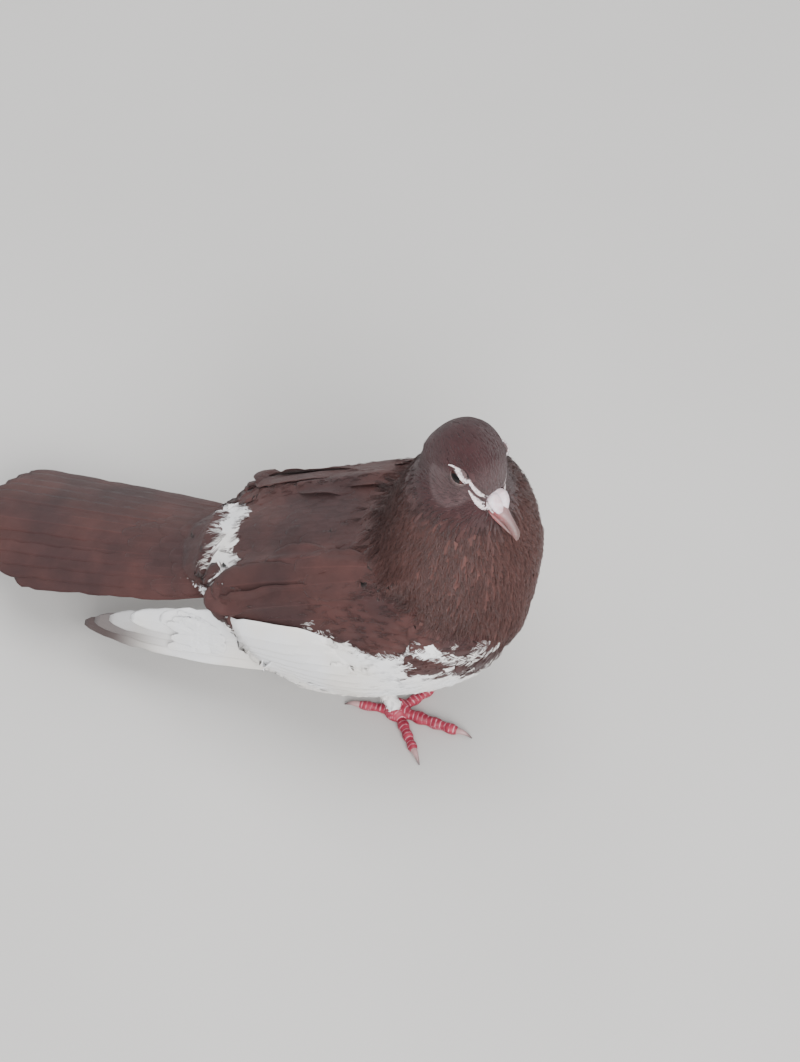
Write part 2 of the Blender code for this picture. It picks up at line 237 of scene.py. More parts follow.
def trunkWhite(points):
    x, y, z = points.T
    rear, breast = belly["rear"], belly["breast"]
    white = 0.5 + (belly["height"] - z) / belly["blend"] + ease(*rear[:2], -x) * rear[2]
    return white - ease(*breast[:2], x) * breast[2] + belly["wander"] * hillNoise(points, 16, 5)


def besideRidges(spots):
    # how far a place on the side of the head is from the white ridges
    near = np.full(len(spots), 9.0)
    for plan in ridges.values():
        run = np.array([curveThrough(plan["path"], t) for t in np.linspace(0, 1, 30)])
        near = np.minimum(near, np.linalg.norm(spots[:, None] - run, axis=2).min(axis=1))
    return near


def rumpWhite(points):
    x, y, z = points.T
    across = points * (0, 1, 0)
    middle = rump["middle"] - rump["slant"] * np.minimum(y, 0) + rump["wander"] * hillNoise(across, 17, 11)
    half = rump["half"] * (1 + rump["uneven"] * hillNoise(across, 13, 4))
    band = 0.5 + (half - np.abs(x - middle)) / rump["blend"]
    return np.where((y < rump["left"]) & (y > rump["right"]) & (z > rump["above"]), band, 0)


def paleCheekAndLitForehead(points):
    # a grey bloom on the cheek and round its rim, and painted light before the brow: the forehead lighter
    # where it faces the light
    local = toHead(points)
    ahead, out, up = local.T
    away = np.linalg.norm((local[:, [0, 2]] - cheek["centre"]) / cheek["size"], axis=1)
    edge = np.exp(-(((away - 0.95) / 0.12) ** 2)) * (up < 1)
    near = cheek["patch"] * (1 - ease(0.6, 1.1, away)) + cheek["rim"] * edge
    # painted light: paler on the forehead before the brow
    near = near + cheek["brow"] * ease(2, 12, ahead) * ease(-1, 3, up)
    return near * ((np.abs(out) > 6) | (ahead > 6)) * (np.linalg.norm(local, axis=1) < 25)


def markings(points, wings, legs, headness):
    white = np.maximum(np.where(wings, wingWhite(points), trunkWhite(points)), rumpWhite(points))
    white = np.where(headness > 0.5, 0.0, white)
    return np.where(legs, 1.0, white)


# Where head and neck begin and are in full, where the coat turns from down to back, and feather lengths in
# millimetres with what each place adds or takes away.
coatPlan = {
    "head": (19, 33), "neck": (78, 104), "turnBack": (-10, 48), "neckTurn": (85, 112),
    "body": 9.5, "headLess": 5.9, "neckLess": 2.2, "faceLess": 1.3, "rumpMore": 1.6,
    "wing": 8.0, "wingRear": 3.5, "wingLow": 2.0, "leg": 5.5, "legLow": 2.0,
}


def skinFields(points, region, normals):
    # all that the coat reads from the skin; points are in millimetres from home
    plan = coatPlan
    x, y, z = points.T
    wings = (region == "wing_right") | (region == "wing_left")
    legs = np.char.startswith(region, "thigh") | np.char.startswith(region, "shank")
    local = toHead(points)
    headness = 1 - ease(*plan["head"], np.linalg.norm(local, axis=1))
    neckness = ease(*plan["neck"], z + 0.35 * x - 16 * ease(-12, 14, -x)) * (1 - headness) * ~wings

    # The coat lies away from the bill on the head, down the neck and back along the body.
    back = points - toBird(inHead(15, 0, -3))
    down = points - np.array(headPose["centre"])
    forwardness = ease(*plan["turnBack"], x)[:, None]
    bodyLie = forwardness * unit(down) + (1 - forwardness) * np.array((-1, 0, -0.25))
    neckLie = ease(*plan["neckTurn"], z)[:, None]
    lie = neckLie * unit(down) + (1 - neckLie) * bodyLie
    lie = headness[:, None] * unit(back) + (1 - headness[:, None]) * lie
    lie = np.where(wings[:, None], np.array((-1, 0, -0.16)), lie)
    lie = np.where(legs[:, None], np.array((-0.25, 0, -1)), lie)
    lie = unit(lie - (lie * normals).sum(1)[:, None] * normals)

    size = plan["body"] - plan["headLess"] * headness - plan["neckLess"] * neckness
    size = size + plan["rumpMore"] * ease(20, 90, -x)
    wingSize = plan["wing"] + plan["wingRear"] * ease(-35, 35, -x) + plan["wingLow"] * ease(0, 25, 95 - z)
    size = np.where(wings, wingSize, size)
    size = np.where(legs, plan["leg"] - plan["legLow"] * ease(0, 16, 24 - z), size)
    size = size - plan["faceLess"] * (headness * ease(-10, 12, local[:, 0]))
    return {
        "lie": lie, "size": size,
        "white": markings(points, wings, legs, headness),
        "pale": paleCheekAndLitForehead(points) * headness,
        "warm": neckness * (0.5 + 0.5 * ease(-15, 45, x - y)) * (1 - 0.7 * ease(20, 45, y)),
        "headness": headness,
        "neckness": neckness,
        "onWing": wings.astype(float),
        "onLeg": legs.astype(float),
    }


# How far each form is grown before they blend, and how deep the skin then lies under each part of the coat.
skinPlan = {
    "grow": {"head": 0.45, "neck": 1.4, "trunk": 2.2, "wing": 2.2, "thigh": 1.0, "shank": 0.45},
    "voxel": 1.4, "rounds": 8, "broad": 24, "even": 12,
    "coat": 1.5, "faceCoat": 0.7, "legCoat": 0.7, "wingCoat": 1.3, "thinShare": 0.4,
}
# Place and radius of the eyeball, pupil and iris in degrees, and the bed of flesh behind it.
eyes = {
    "forward": 2.0, "out": 11.8, "up": 4.5, "radius": 4.4, "pupil": 34, "iris": 52,
    "bedOut": 10.6, "bed": 5.2, "rings": 26, "around": 40, "reach": 150,
}
# A sheet that fills the grooves between back, wings and neck: its reach, grid step and rounds of evening.
saddle = {"from": -98, "to": 16, "half": 42, "step": 2.0, "rounds": 40, "deep": 9.0, "settle": 0.6}
# White ridges of the face in the head's frame: the powdered fold over the eye and the streak of the jaw.
ridges = {
    "brow": {"path": ((-4.2, 5.8), (-2.2, 7.1), (1.5, 8.0), (5.5, 6.7), (9.1, 4.8), (12.6, 3.1), (15.2, 2.0)),
             "half": (0.15, 0.4, 0.5, 0.6, 0.65, 0.6, 0.35), "high": 0.4},
    "jaw": {"path": ((8.6, 2.9), (11.4, 1.5), (14.3, 0.1), (17.4, -1.4), (21.2, -3.0)),
            "half": (0.1, 0.55, 0.85, 0.75, 0.35), "high": 0.45},
}
fleshNodes = ["head", "neck", "trunk"]
fleshNodes += [f"{part}_{side}" for part in ("wing", "thigh", "shank") for side in sides]


def mergedForm(name):
    form = bmesh.new()
    form.from_mesh(nodes[name].data)
    bmesh.ops.remove_doubles(form, verts=form.verts[:], dist=0.01 * mm)
    form.normal_update()
    return form


def growthOf(name):
    return skinPlan["grow"][name.split("_")[0]]


def treeOf(names, pieces=()):
    # for finding the surface of these solids and finished pieces
    verts, faces = [], []
    for piece in pieces:
        faces += [[k + len(verts) for k in face.vertices] for face in piece.data.polygons]
        verts += [vert.co.copy() for vert in piece.data.vertices]
    for name in names:
        form = mergedForm(name)
        first = len(verts)
        verts += [vert.co.copy() for vert in form.verts]
        faces += [[vert.index + first for vert in face.verts] for face in form.faces]
        form.free()
    return BVHTree.FromPolygons(verts, faces)


def nearestRegion(points):
    trees = {name: treeOf([name]) for name in fleshNodes}
    found = []
    for point in points:
        at = Vector(point)
        found.append(min(fleshNodes, key=lambda name: trees[name].find_nearest(at)[3]))
    return np.array(found)


def saddleForm():
    xs = np.arange(saddle["from"], saddle["to"], saddle["step"])
    ys = np.arange(-saddle["half"], saddle["half"] + 0.1, saddle["step"])
    tree = treeOf([name for name in fleshNodes if name != "head"])
    tops = np.full((len(xs), len(ys)), np.nan)
    for i, x in enumerate(xs[1:-1], 1):
        for j, y in enumerate(ys[1:-1], 1):
            hit = tree.ray_cast(place(x, y, 250), Vector((0, 0, -1)), 0.24)[0]
            if hit is not None:
                tops[i, j] = toBird(hit)[2]
    known = np.isfinite(tops)
    level = np.where(known, tops, 0)
    for _ in range(saddle["rounds"]):
        total, count = np.zeros_like(level), np.zeros_like(level)
        for shift, axis in ((1, 0), (-1, 0), (1, 1), (-1, 1)):
            total += np.roll(level * known, shift, axis)
            count += np.roll(known, shift, axis)
        settled = (1 - saddle["settle"]) * level + saddle["settle"] * total / np.maximum(count, 1)
        level = np.where(known, np.maximum(tops, settled), 0)
    level += growthOf("trunk")
    form = bmesh.new()
    grid = [[form.verts.new(place(x, y, level[i, j])) for j, y in enumerate(ys)] for i, x in enumerate(xs)]
    for i in range(len(xs) - 1):
        for j in range(len(ys) - 1):
            if known[i:i + 2, j:j + 2].all():
                form.faces.new((grid[i][j], grid[i + 1][j], grid[i + 1][j + 1], grid[i][j + 1]))
    bmesh.ops.delete(form, geom=[vert for vert in form.verts if not vert.link_faces], context="VERTS")
    under = bmesh.ops.extrude_face_region(form, geom=form.faces[:], use_keep_orig=True)["geom"]
    for vert in under:
        if isinstance(vert, bmesh.types.BMVert):
            vert.co.z -= saddle["deep"] * mm
    bmesh.ops.recalc_face_normals(form, faces=form.faces[:])
    return form


def eyeBedForm(hand):
    form = bmesh.new()
    centre = inHead(eyes["forward"], hand * eyes["bedOut"], eyes["up"])
    bmesh.ops.create_uvsphere(form, u_segments=24, v_segments=16, radius=eyes["bed"] * mm,
                              matrix=Matrix.Translation(centre))
    return form


def grownForm(name):
    form = mergedForm(name)
    pushes = [vert.normal * (growthOf(name) * mm) for vert in form.verts]
    for vert, push in zip(form.verts, pushes):
        vert.co += push
    return form


def makeSkin():
    forms = [saddleForm()] + [eyeBedForm(hand) for hand in sides.values()]
    forms += [grownForm(name) for name in fleshNodes]
    skin = linkObject("skin", joinMeshes("skin", [meshOf(form) for form in forms]))
    blendParts(skin, skinPlan["voxel"], skinPlan["rounds"])
    sinkSkin(skin)
    return skin


def neighbourMean(mesh, values, rounds):
    # evens out values between neighbouring points
    edges = np.empty(len(mesh.edges) * 2, int)
    mesh.edges.foreach_get("vertices", edges)
    first, second = edges.reshape(-1, 2).T
    count = np.maximum(np.bincount(edges, minlength=len(mesh.vertices)), 1)
    flat = values.reshape(len(values), -1)
    for _ in range(rounds):
        columns = [
            np.bincount(first, column[second], len(flat)) + np.bincount(second, column[first], len(flat))
            for column in flat.T
        ]
        flat = 0.5 * flat + 0.5 * np.stack(columns, 1) / count[:, None]
    return flat.reshape(values.shape)


def sinkSkin(skin):
    # Inside the solids by the depth of the coat, and by less where the form is thin.
    mesh = skin.data
    tree = BVHTree.FromObject(skin, bpy.context.evaluated_depsgraph_get())
    points, normals = coordinates(mesh), vertexNormals(mesh)
    broad = neighbourMean(mesh, normals, skinPlan["broad"])
    strength = np.linalg.norm(broad, axis=1, keepdims=True)
    broad = unit(np.where(strength > 0.45, broad, normals))
    region = nearestRegion(points)
    fields = skinFields(toBird(points), region, broad)
    depth = skinPlan["coat"] + (skinPlan["faceCoat"] - skinPlan["coat"]) * fields["headness"]
    depth = np.where(fields["onWing"] > 0, skinPlan["wingCoat"], depth)
    depth = np.where(fields["onLeg"] > 0, skinPlan["legCoat"], depth)
    grown = neighbourMean(mesh, np.array([growthOf(name) for name in region]), 6)
    opened = np.ones(len(points))
    farthest = 12
    for i, (point, normal, out) in enumerate(zip(points, normals, broad)):
        hit = tree.ray_cast(Vector(point - normal * 0.1 * mm), Vector(-normal), farthest * mm)
        thickness = hit[3] / mm if hit[0] is not None else farthest
        depth[i] = min(depth[i] + grown[i], skinPlan["thinShare"] * thickness)
        above = tree.ray_cast(Vector(point + out * 0.4 * mm), Vector(out), 3 * mm)
        opened[i] = above[0] is None
    depth = neighbourMean(mesh, depth, skinPlan["even"])
    sunk = points - normals * depth[:, None] * mm
    mesh.vertices.foreach_set("co", sunk.ravel())
    mesh.update()
    for name, values in fields.items():
        writeAttribute(mesh, name, values)
    writeAttribute(mesh, "outward", broad)
    writeAttribute(mesh, "open", opened)


# Shares of a feather's length: its cup, arch and thickness, and how far teeth cut and sweep its rim.
leaf = {"rows": 9, "cup": 0.05, "arch": 0.03, "thick": 0.014, "tooth": 0.26, "sweep": 0.12, "widest": 0.55}


def leafFeather(name, seed, teeth, rows=leaf["rows"]):
    # a rounded vane one unit long and one wide: a thin closed leaf with a toothed rim
    rng = np.random.default_rng(seed)
    verts, vane, faces, rings = [], [], [], []
    for i in range(rows):
        t = (i + 0.35) / rows
        wide = 0.5 * (0.35 + 0.65 * math.sin(min(t / leaf["widest"], 1) * math.pi / 2))
        if t > leaf["widest"]:
            wide = 0.5 * math.sqrt(1 - ((t - leaf["widest"]) / 0.47) ** 2)
        high = leaf["arch"] * math.sin(math.pi * min(t * 1.05, 1))
        ring = []
        for s, lift in ((-1, 0), (-0.45, 1), (0, 1.3), (0.45, 1), (1, 0), (0, -0.6)):
            rim = abs(s) == 1
            barb = (i % 2) * rim
            cut = 1 - leaf["tooth"] * teeth * rng.uniform(0.4, 1) * (rim - barb)
            slip = leaf["sweep"] * teeth * rng.uniform(0.5, 1) * barb + 0.09 * abs(s)
            z = high + leaf["thick"] * lift - leaf["cup"] * s * s * wide * 2
            ring.append(len(verts))
            verts.append((t + slip, s * wide * cut, z))
            vane.append((t, s, 0))
        rings.append(ring)
    for low, high in zip(rings, rings[1:]):
        faces += [(low[k], low[(k + 1) % 6], high[(k + 1) % 6], high[k]) for k in range(6)]
    for ring, t, z in ((rings[0], 0.0, 0.0), (rings[-1], 1.05, leaf["arch"] * 0.3)):
        faces += [(ring[k], ring[(k + 1) % 6], len(verts)) for k in range(6)]
        verts.append((t, 0, z))
        vane.append((t, 0, 0))
    return solidMesh(name, verts, faces, {"vane": vane})


tuft = {"strands": 5, "spread": 28.0, "thick": 0.022, "flat": 0.6, "arch": 0.10, "wave": 0.08}


def hairFeather(name, seed, strands=tuft["strands"], spread=tuft["spread"], thick=tuft["thick"]):
    # a loose tuft of barbs from one root: tapering three-sided strands that part towards their tips
    rng = np.random.default_rng(seed)
    verts, vane, faces = [], [], []
    for k in range(strands):
        share = (k + 0.5) / strands * 2 - 1
        yaw = math.radians(share * spread / 2 + rng.uniform(-4, 4))
        long = rng.uniform(0.72, 1.08) * (1 - 0.12 * abs(share))
        high, phase = rng.uniform(0.6, 1.3) * tuft["arch"], rng.uniform(0, 6.3)
        rings = []
        for i in range(4):
            t = i / 3
            reach = long * t
            wander = tuft["wave"] * math.sin(3.5 * t + phase) * t
            middle = Vector((reach * math.cos(yaw * t), reach * math.sin(yaw * t) + wander + share * 0.07, 0))
            middle.z = high * math.sin(math.pi * min(t * 0.9, 1)) + 0.02 * (k % 2)
            size = thick * (1 - 0.72 * t) * rng.uniform(0.85, 1.15)
            ring = []
            for across, up in ((-1, -0.3), (0, 1), (1, -0.3)):
                ring.append(len(verts))
                verts.append(middle + Vector((0, across * size, up * size * tuft["flat"])))
                vane.append((t, (share * 3 + across) / 4, (k + 1) / strands))
            rings.append(ring)
        for low, above in zip(rings, rings[1:]):
            faces += [(low[j], low[(j + 1) % 3], above[(j + 1) % 3], above[j]) for j in range(3)]
        faces += [tuple(rings[0][::-1]), tuple(rings[-1])]
    return solidMesh(name, verts, faces, {"vane": vane})


def vaneSet(name, make, count, seed, settings):
    # a hidden collection of feather shapes for the scatter to pick from
    chosen = bpy.data.collections.new(name)
    for i in range(count):
        mesh = make(f"{name}{i}", seed + i, **settings)
        chosen.objects.link(bpy.data.objects.new(mesh.name, mesh))
    return chosen


def socketId(tree, name):
    return next(item.identifier for item in tree.interface.items_tree if item.name == name)


def scatterTree():
    # feathers over a bed: Poisson spacing, laid along the coat, sized and turned by the bed's attributes
    tree = bpy.data.node_groups.new("scatterCoat", "GeometryNodeTree")
    sockets = (
        ("Geometry", "NodeSocketGeometry", None),
        ("Vanes", "NodeSocketCollection", None),
        ("Spacing", "NodeSocketFloat", 0.003),
        ("Density", "NodeSocketFloat", 200000.0),
        ("Long", "NodeSocketFloat", 1.0),
        ("Width", "NodeSocketFloat", 0.6),
        ("Lift", "NodeSocketFloat", 0.12),
        ("Sway", "NodeSocketFloat", 0.12),
        ("Roll", "NodeSocketFloat", 0.1),
        ("Seed", "NodeSocketInt", 1),
        ("Finish", "NodeSocketMaterial", None),
    )
    for name, kind, value in sockets:
        made = tree.interface.new_socket(name, in_out="INPUT", socket_type=kind)
        if value is not None:
            made.default_value = value
    tree.interface.new_socket("Geometry", in_out="OUTPUT", socket_type="NodeSocketGeometry")
    add, link = tree.nodes.new, tree.links.new
    given = add("NodeGroupInput").outputs

    def named(name, kind="FLOAT"):
        node = add("GeometryNodeInputNamedAttribute")
        node.data_type = kind
        node.inputs["Name"].default_value = name
        return node.outputs["Attribute"]

    def chance(low, high, offset):
        node = add("FunctionNodeRandomValue")
        node.data_type = "FLOAT"
        node.inputs[2].default_value, node.inputs[3].default_value = low, high
        shift = add("ShaderNodeMath")
        shift.inputs[1].default_value = offset
        link(given["Seed"], shift.inputs[0])
        link(shift.outputs[0], node.inputs["Seed"])
        return node.outputs[1]

    def product(first, second):
        node = add("ShaderNodeMath")
        node.operation = "MULTIPLY"
        link(first, node.inputs[0])
        link(second, node.inputs[1])
        return node.outputs[0]

    def store(geometry, name, value, kind="FLOAT"):
        node = add("GeometryNodeStoreNamedAttribute")
        node.data_type = kind
        node.inputs["Name"].default_value = name
        link(geometry, node.inputs["Geometry"])
        link(value, node.inputs["Value"])
        return node.outputs[0]

    spread = add("GeometryNodeDistributePointsOnFaces")
    spread.distribute_method = "POISSON"
    link(given["Geometry"], spread.inputs["Mesh"])
    link(given["Spacing"], spread.inputs["Distance Min"])
    link(given["Density"], spread.inputs["Density Max"])
    link(given["Seed"], spread.inputs["Seed"])
    link(named("cover"), spread.inputs["Density Factor"])
    points = store(spread.outputs["Points"], "tone", chance(-1, 1, 11))
    points = store(points, "root", add("GeometryNodeInputPosition").outputs[0], "FLOAT_VECTOR")

    face = add("FunctionNodeAxesToRotation")
    face.primary_axis, face.secondary_axis = "Z", "X"
    link(named("outward", "FLOAT_VECTOR"), face.inputs["Primary Axis"])
    link(named("lie", "FLOAT_VECTOR"), face.inputs["Secondary Axis"])
    angles = add("ShaderNodeCombineXYZ")
    lift = product(given["Lift"], chance(-1.5, -0.5, 3))
    roll = product(given["Roll"], chance(-1, 1, 4))
    sway = product(given["Sway"], chance(-1, 1, 5))
    for target, value in zip(angles.inputs, (roll, lift, sway)):
        link(value, target)
    turn = add("FunctionNodeEulerToRotation")
    link(angles.outputs[0], turn.inputs[0])
    rotate = add("FunctionNodeRotateRotation")
    rotate.rotation_space = "LOCAL"
    link(face.outputs[0], rotate.inputs["Rotation"])
    link(turn.outputs[0], rotate.inputs["Rotate By"])

    length = product(product(named("size"), given["Long"]), chance(0.00085, 0.00115, 6))
    scale = add("ShaderNodeCombineXYZ")
    for target, value in zip(scale.inputs, (length, product(length, given["Width"]), length)):
        link(value, target)

    shapes = add("GeometryNodeCollectionInfo")
    shapes.inputs["Separate Children"].default_value = True
    shapes.inputs["Reset Children"].default_value = True
    link(given["Vanes"], shapes.inputs["Collection"])
    pick = add("FunctionNodeRandomValue")
    pick.data_type = "INT"
    pick.inputs[4].default_value, pick.inputs[5].default_value = 0, 99
    link(given["Seed"], pick.inputs["Seed"])
    copies = add("GeometryNodeInstanceOnPoints")
    copies.inputs["Pick Instance"].default_value = True
    link(points, copies.inputs["Points"])
    link(shapes.outputs[0], copies.inputs["Instance"])
    link(pick.outputs[2], copies.inputs["Instance Index"])
    link(rotate.outputs[0], copies.inputs["Rotation"])
    link(scale.outputs[0], copies.inputs["Scale"])
    real = add("GeometryNodeRealizeInstances")
    link(copies.outputs[0], real.inputs[0])
    finish = add("GeometryNodeSetMaterial")
    link(real.outputs[0], finish.inputs["Geometry"])
    link(given["Finish"], finish.inputs["Material"])
    link(finish.outputs[0], add("NodeGroupOutput").inputs[0])
    return tree


def bedFrom(skin, name, cover):
    # the faces of the skin that carry this part of the coat
    bed = linkObject(name, skin.data.copy())
    writeAttribute(bed.data, "cover", cover)
    form = bmesh.new()
    form.from_mesh(bed.data)
    form.verts.ensure_lookup_table()
    bare = [face for face in form.faces if max(cover[vert.index] for vert in face.verts) < 0.05]
    bmesh.ops.delete(form, geom=bare, context="FACES")
    form.to_mesh(bed.data)
    form.free()
    return bed


def chart(points, kind):
    # where a root lies on an unwrap of the form that it grows on; points are in millimetres from home
    x, y, z = points.T
    if kind == "head":
        local = toHead(points)
        reach = np.arccos(np.clip(unit(local)[:, 0], -1, 1))
        around = np.arctan2(local[:, 2], local[:, 1])
        return np.column_stack((reach * np.cos(around), reach * np.sin(around)))
    if kind == "neck":
        return np.column_stack((np.arctan2(y, x - 18), z))
    if kind == "wing":
        return np.column_stack((x, z - 0.3 * np.abs(y)))
    if kind == "leg":
        around = np.arctan2(np.abs(y) - 25, x + 0.35 * z)
        return np.column_stack((around + 7 * (y > 0), z))
    return np.column_stack((np.arctan2(y, z - 72), x))


# The shares of the bake map that its margin and each feather's patch take up.
bakePlan = {"margin": 0.01, "patch": 0.003}


def mapFeathers(mesh, kind):
    # each feather is a small patch at its root's place on the unwrap
    root = toBird(readAttribute(mesh, "root", 3))
    vane = readAttribute(mesh, "vane", 3)
    flat = chart(root, kind)
    low, high = flat.min(0), flat.max(0)
    room = 1 - 2 * bakePlan["margin"]
    flat = bakePlan["margin"] + room * (flat - low) / (high - low) * (1 - bakePlan["patch"])
    flat += np.column_stack((vane[:, 0], vane[:, 1] * 0.5 + 0.5)) * bakePlan["patch"] * room
    writeBakeMap(mesh, flat)


spareAttributes = ("lie", "outward", "cover", "open", "size", "onWing", "onLeg")
# How far feathers may bend to the body, what counts as stray, and how far shading leans to the broad form.
settle = {"reach": 6.0, "most": 1.3, "share": 0.3, "stray": 2.0, "shade": 2.2, "loose": 0.55, "lean": 0.6}


def layDown(mesh, tree):
    # The feathers bend to the body under them, and their shading leans towards its broad form.
    points = coordinates(mesh)
    outward = unit(readAttribute(mesh, "outward", 3))
    root = readAttribute(mesh, "root", 3)
    broad = outward.copy()
    reach = settle["reach"] * mm
    most = np.minimum(settle["most"] * mm, settle["share"] * np.linalg.norm(points - root, axis=1))
    stray = np.ones(len(points))
    for i, (point, out) in enumerate(zip(points, outward)):
        height = (point - root[i]) @ out
        start = Vector(point + out * (reach - height))
        hit, normal, _, _ = tree.ray_cast(start, Vector(-out), 2 * reach)
        if hit is None:
            continue
        rise = (np.array(hit) - root[i]) @ out
        stray[i] = abs(rise) > settle["stray"] * mm
        points[i] += out * min(max(rise, -most[i]), most[i])
        if abs(rise) < settle["shade"] * mm:
            broad[i] = 0.5 * out + 0.5 * np.array(normal)
    mesh.vertices.foreach_set("co", points.ravel())
    writeAttribute(mesh, "broad", broad)
    dropStrays(mesh, root, stray)
    broad = unit(readAttribute(mesh, "broad", 3))
    mesh.attributes.remove(mesh.attributes["broad"])
    return broad


def dropStrays(mesh, root, stray):
    # a feather that mostly hangs clear of the body is left out
    _, feather = np.unique(np.round(root / (0.01 * mm)).astype(int), axis=0, return_inverse=True)
    feather = feather.ravel()
    loose = np.bincount(feather, stray) / np.bincount(feather) > settle["loose"]
    form = bmesh.new()
    form.from_mesh(mesh)
    dropped = [vert for vert, drop in zip(form.verts, loose[feather]) if drop]
    bmesh.ops.delete(form, geom=dropped, context="VERTS")
    form.to_mesh(mesh)
    form.free()
    mesh.update()


def shadeBroadly(mesh, broad):
    normals, share = vertexNormals(mesh), settle["lean"]
    outside = (normals * broad).sum(1, keepdims=True) > -0.1
    leaned = unit(np.where(outside, normals * (1 - share) + broad * share, normals))
    mesh.normals_split_custom_set_from_vertices([tuple(normal) for normal in leaned])


def remark(mesh, rooted):
    # the markings as they are where each feather shows, not where it is rooted
    root = toBird(readAttribute(mesh, "root", 3))
    lie, size = unit(readAttribute(mesh, "lie", 3)), readAttribute(mesh, "size")
    wings, legs = readAttribute(mesh, "onWing") > 0.5, readAttribute(mesh, "onLeg") > 0.5
    headness = readAttribute(mesh, "headness")
    shown = root + lie * size[:, None] * 0.72 * (1 - rooted)
    here = toBird(coordinates(mesh))
    share = (0.35 + 0.6 * headness) * (1 - rooted)
    white = (1 - share) * markings(shown, wings, legs, headness)
    white = white + share * markings(here, wings, legs, headness)
    white = 0.5 + (white - 0.5) * (1 + 2 * headness)
    writeAttribute(mesh, "white", np.clip(white, -0.5, 1.5))
    writeAttribute(mesh, "pale", paleCheekAndLitForehead(here) * headness)


def scatterCoat(name, cover, vaneName, chartKind, seed, settings, finish, slot):
    bed = bedFrom(skin, name, cover)
    modifier = bed.modifiers.new("coat", "NODES")
    modifier.node_group = coatTree
    settings = dict(settings, Vanes=vanes[vaneName], Seed=seed, Finish=finishes[finish])
    rooted = settings.pop("Rooted", 0)
    for key, value in {"Density": 2 / settings["Spacing"] ** 2, **settings}.items():
        modifier[socketId(coatTree, key)] = value
    bakeModifiers(bed)
    mesh = bed.data
    remark(mesh, rooted)
    broad = layDown(mesh, bodyTree)
    mapFeathers(mesh, chartKind)
    for spare in spareAttributes:
        if spare in mesh.attributes:
            mesh.attributes.remove(mesh.attributes[spare])
    mesh.shade_smooth()
    shadeBroadly(mesh, broad)
    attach(bed, "root")
    print(f"{name}: {sum(len(face.vertices) - 2 for face in mesh.polygons)} triangles")


# Large feathers: thickness, shaft and barb ridges in millimetres, the rest as shares of length or width.
blade = {
    "rows": 20, "columns": (-1, -0.8, -0.55, -0.3, -0.05, 0, 0.05, 0.3, 0.55, 0.8, 1),
    "slant": 0.10, "full": 0.38,
    "thick": 0.2, "shaft": 0.26, "camber": 0.05, "ridge": 0.05, "notch": 0.10,
}


# The marking of feathers that are all brown or all white.
brownMark, whiteMark = -0.1, 1.2


class FeatherSet:
    # large feathers gathered into one piece, each a thin closed blade

    def __init__(self, name, seed):
        self.name, self.rng = name, np.random.default_rng(seed)
        self.verts, self.faces, self.count = [], [], 0
        self.marks = {key: [] for key in ("vane", "tone", "white", "soil", "uv")}

    def add(self, surface, outer, inner, white, blunt, wear, base, soil=0.0, shaft=1.0):
        # surface gives point and normal for a share along and an offset in millimetres to the shaft's left.
        # outer and inner are half widths, blunt is where the tip begins to round, base how wide the root is.
        rng, rows = self.rng, blade["rows"]
        tone, first = rng.uniform(-1, 1), len(self.verts)
        cuts = rng.uniform(0, 1, (rows, 2)) ** 3 * wear
        splits = {int(rng.integers(8, rows - 2)) for _ in range(int(wear * 3))}
        layers = []
        for under in (0, 1):
            grid = []
            for i in range(rows):
                line = []
                for s in blade["columns"]:
                    t0 = 1 - (1 - (i + 0.2) / (rows - 0.6)) ** 1.3
                    t = t0 + blade["slant"] * abs(s) * (1 - t0) * min(1, t0 * 4)
                    half = inner if s > 0 else outer
                    half *= base + (1 - base) * math.sin(min(t / blade["full"], 1) * math.pi / 2)
                    if t > blunt:
                        half *= math.sqrt(max(1 - ((t - blunt) / (1.002 - blunt)) ** 2, 0.0))
                    cut = cuts[i][int(s > 0)] * blade["notch"] + blade["notch"] * (i in splits)
                    reach = s * half * (1 - cut * max(abs(s) - 0.5, 0) * 2)
                    at, normal = surface(min(t, 1), reach)
                    lift = -blade["camber"] * s**2 * half - blade["ridge"] * (i % 2) * (abs(s) > 0.1)
                    if s == 0:
                        lift += blade["shaft"] * shaft * (1 - 0.8 * t)
                    lift -= blade["thick"] * (1 - 0.4 * abs(s)) * under
                    line.append(len(self.verts))
                    self.verts.append(at + normal * lift)
                    self.marks["vane"].append((t, s, self.count))
                    self.marks["tone"].append(tone)
                    self.marks["white"].append(white)
                    self.marks["soil"].append(soil * float(ease(0.6, 0.9, t)))
                    self.marks["uv"].append((0.01 + 0.98 * t, 2 * self.count + under + 0.06 + 0.44 * (s + 1)))
                grid.append(line)
            layers.append(grid)
        top, low = layers
        wide = len(blade["columns"])
        for i in range(rows - 1):
            for j in range(wide - 1):
                self.faces.append((top[i][j], top[i + 1][j], top[i + 1][j + 1], top[i][j + 1]))
                self.faces.append((low[i][j], low[i][j + 1], low[i + 1][j + 1], low[i + 1][j]))
            for j in (0, wide - 1):
                self.faces.append((top[i][j], low[i][j], low[i + 1][j], top[i + 1][j]))
        for i in (0, rows - 1):
            for j in range(wide - 1):
                self.faces.append((top[i][j], top[i][j + 1], low[i][j + 1], low[i][j]))
        self.count += 1

    def finish(self, slot):
        uv = np.array(self.marks.pop("uv")) / (1, 2 * self.count)
        for key in ("warm", "headness", "neckness", "pale"):
            self.marks[key] = np.zeros(len(self.verts))
        mesh = solidMesh(self.name, [home + at * mm for at in self.verts], self.faces, self.marks)
        writeBakeMap(mesh, uv)
        print(f"{self.name}: {self.count} feathers, {2 * len(mesh.polygons)} triangles")
        return dress(linkObject(self.name, mesh), finishes["blade"], slot)


def curveThrough(stations, t):
    # smooth reading of evenly spaced stations
    last = len(stations) - 1
    i = min(int(t * last), last - 1)
    f = t * last - i
    a, b, c, d = (np.array(stations[min(max(k, 0), last)], float) for k in (i - 1, i, i + 1, i + 2))
    return 0.5 * (2 * b + (c - a) * f + (2 * a - 5 * b + 4 * c - d) * f * f + (3 * b - a - 3 * c + d) * f**3)


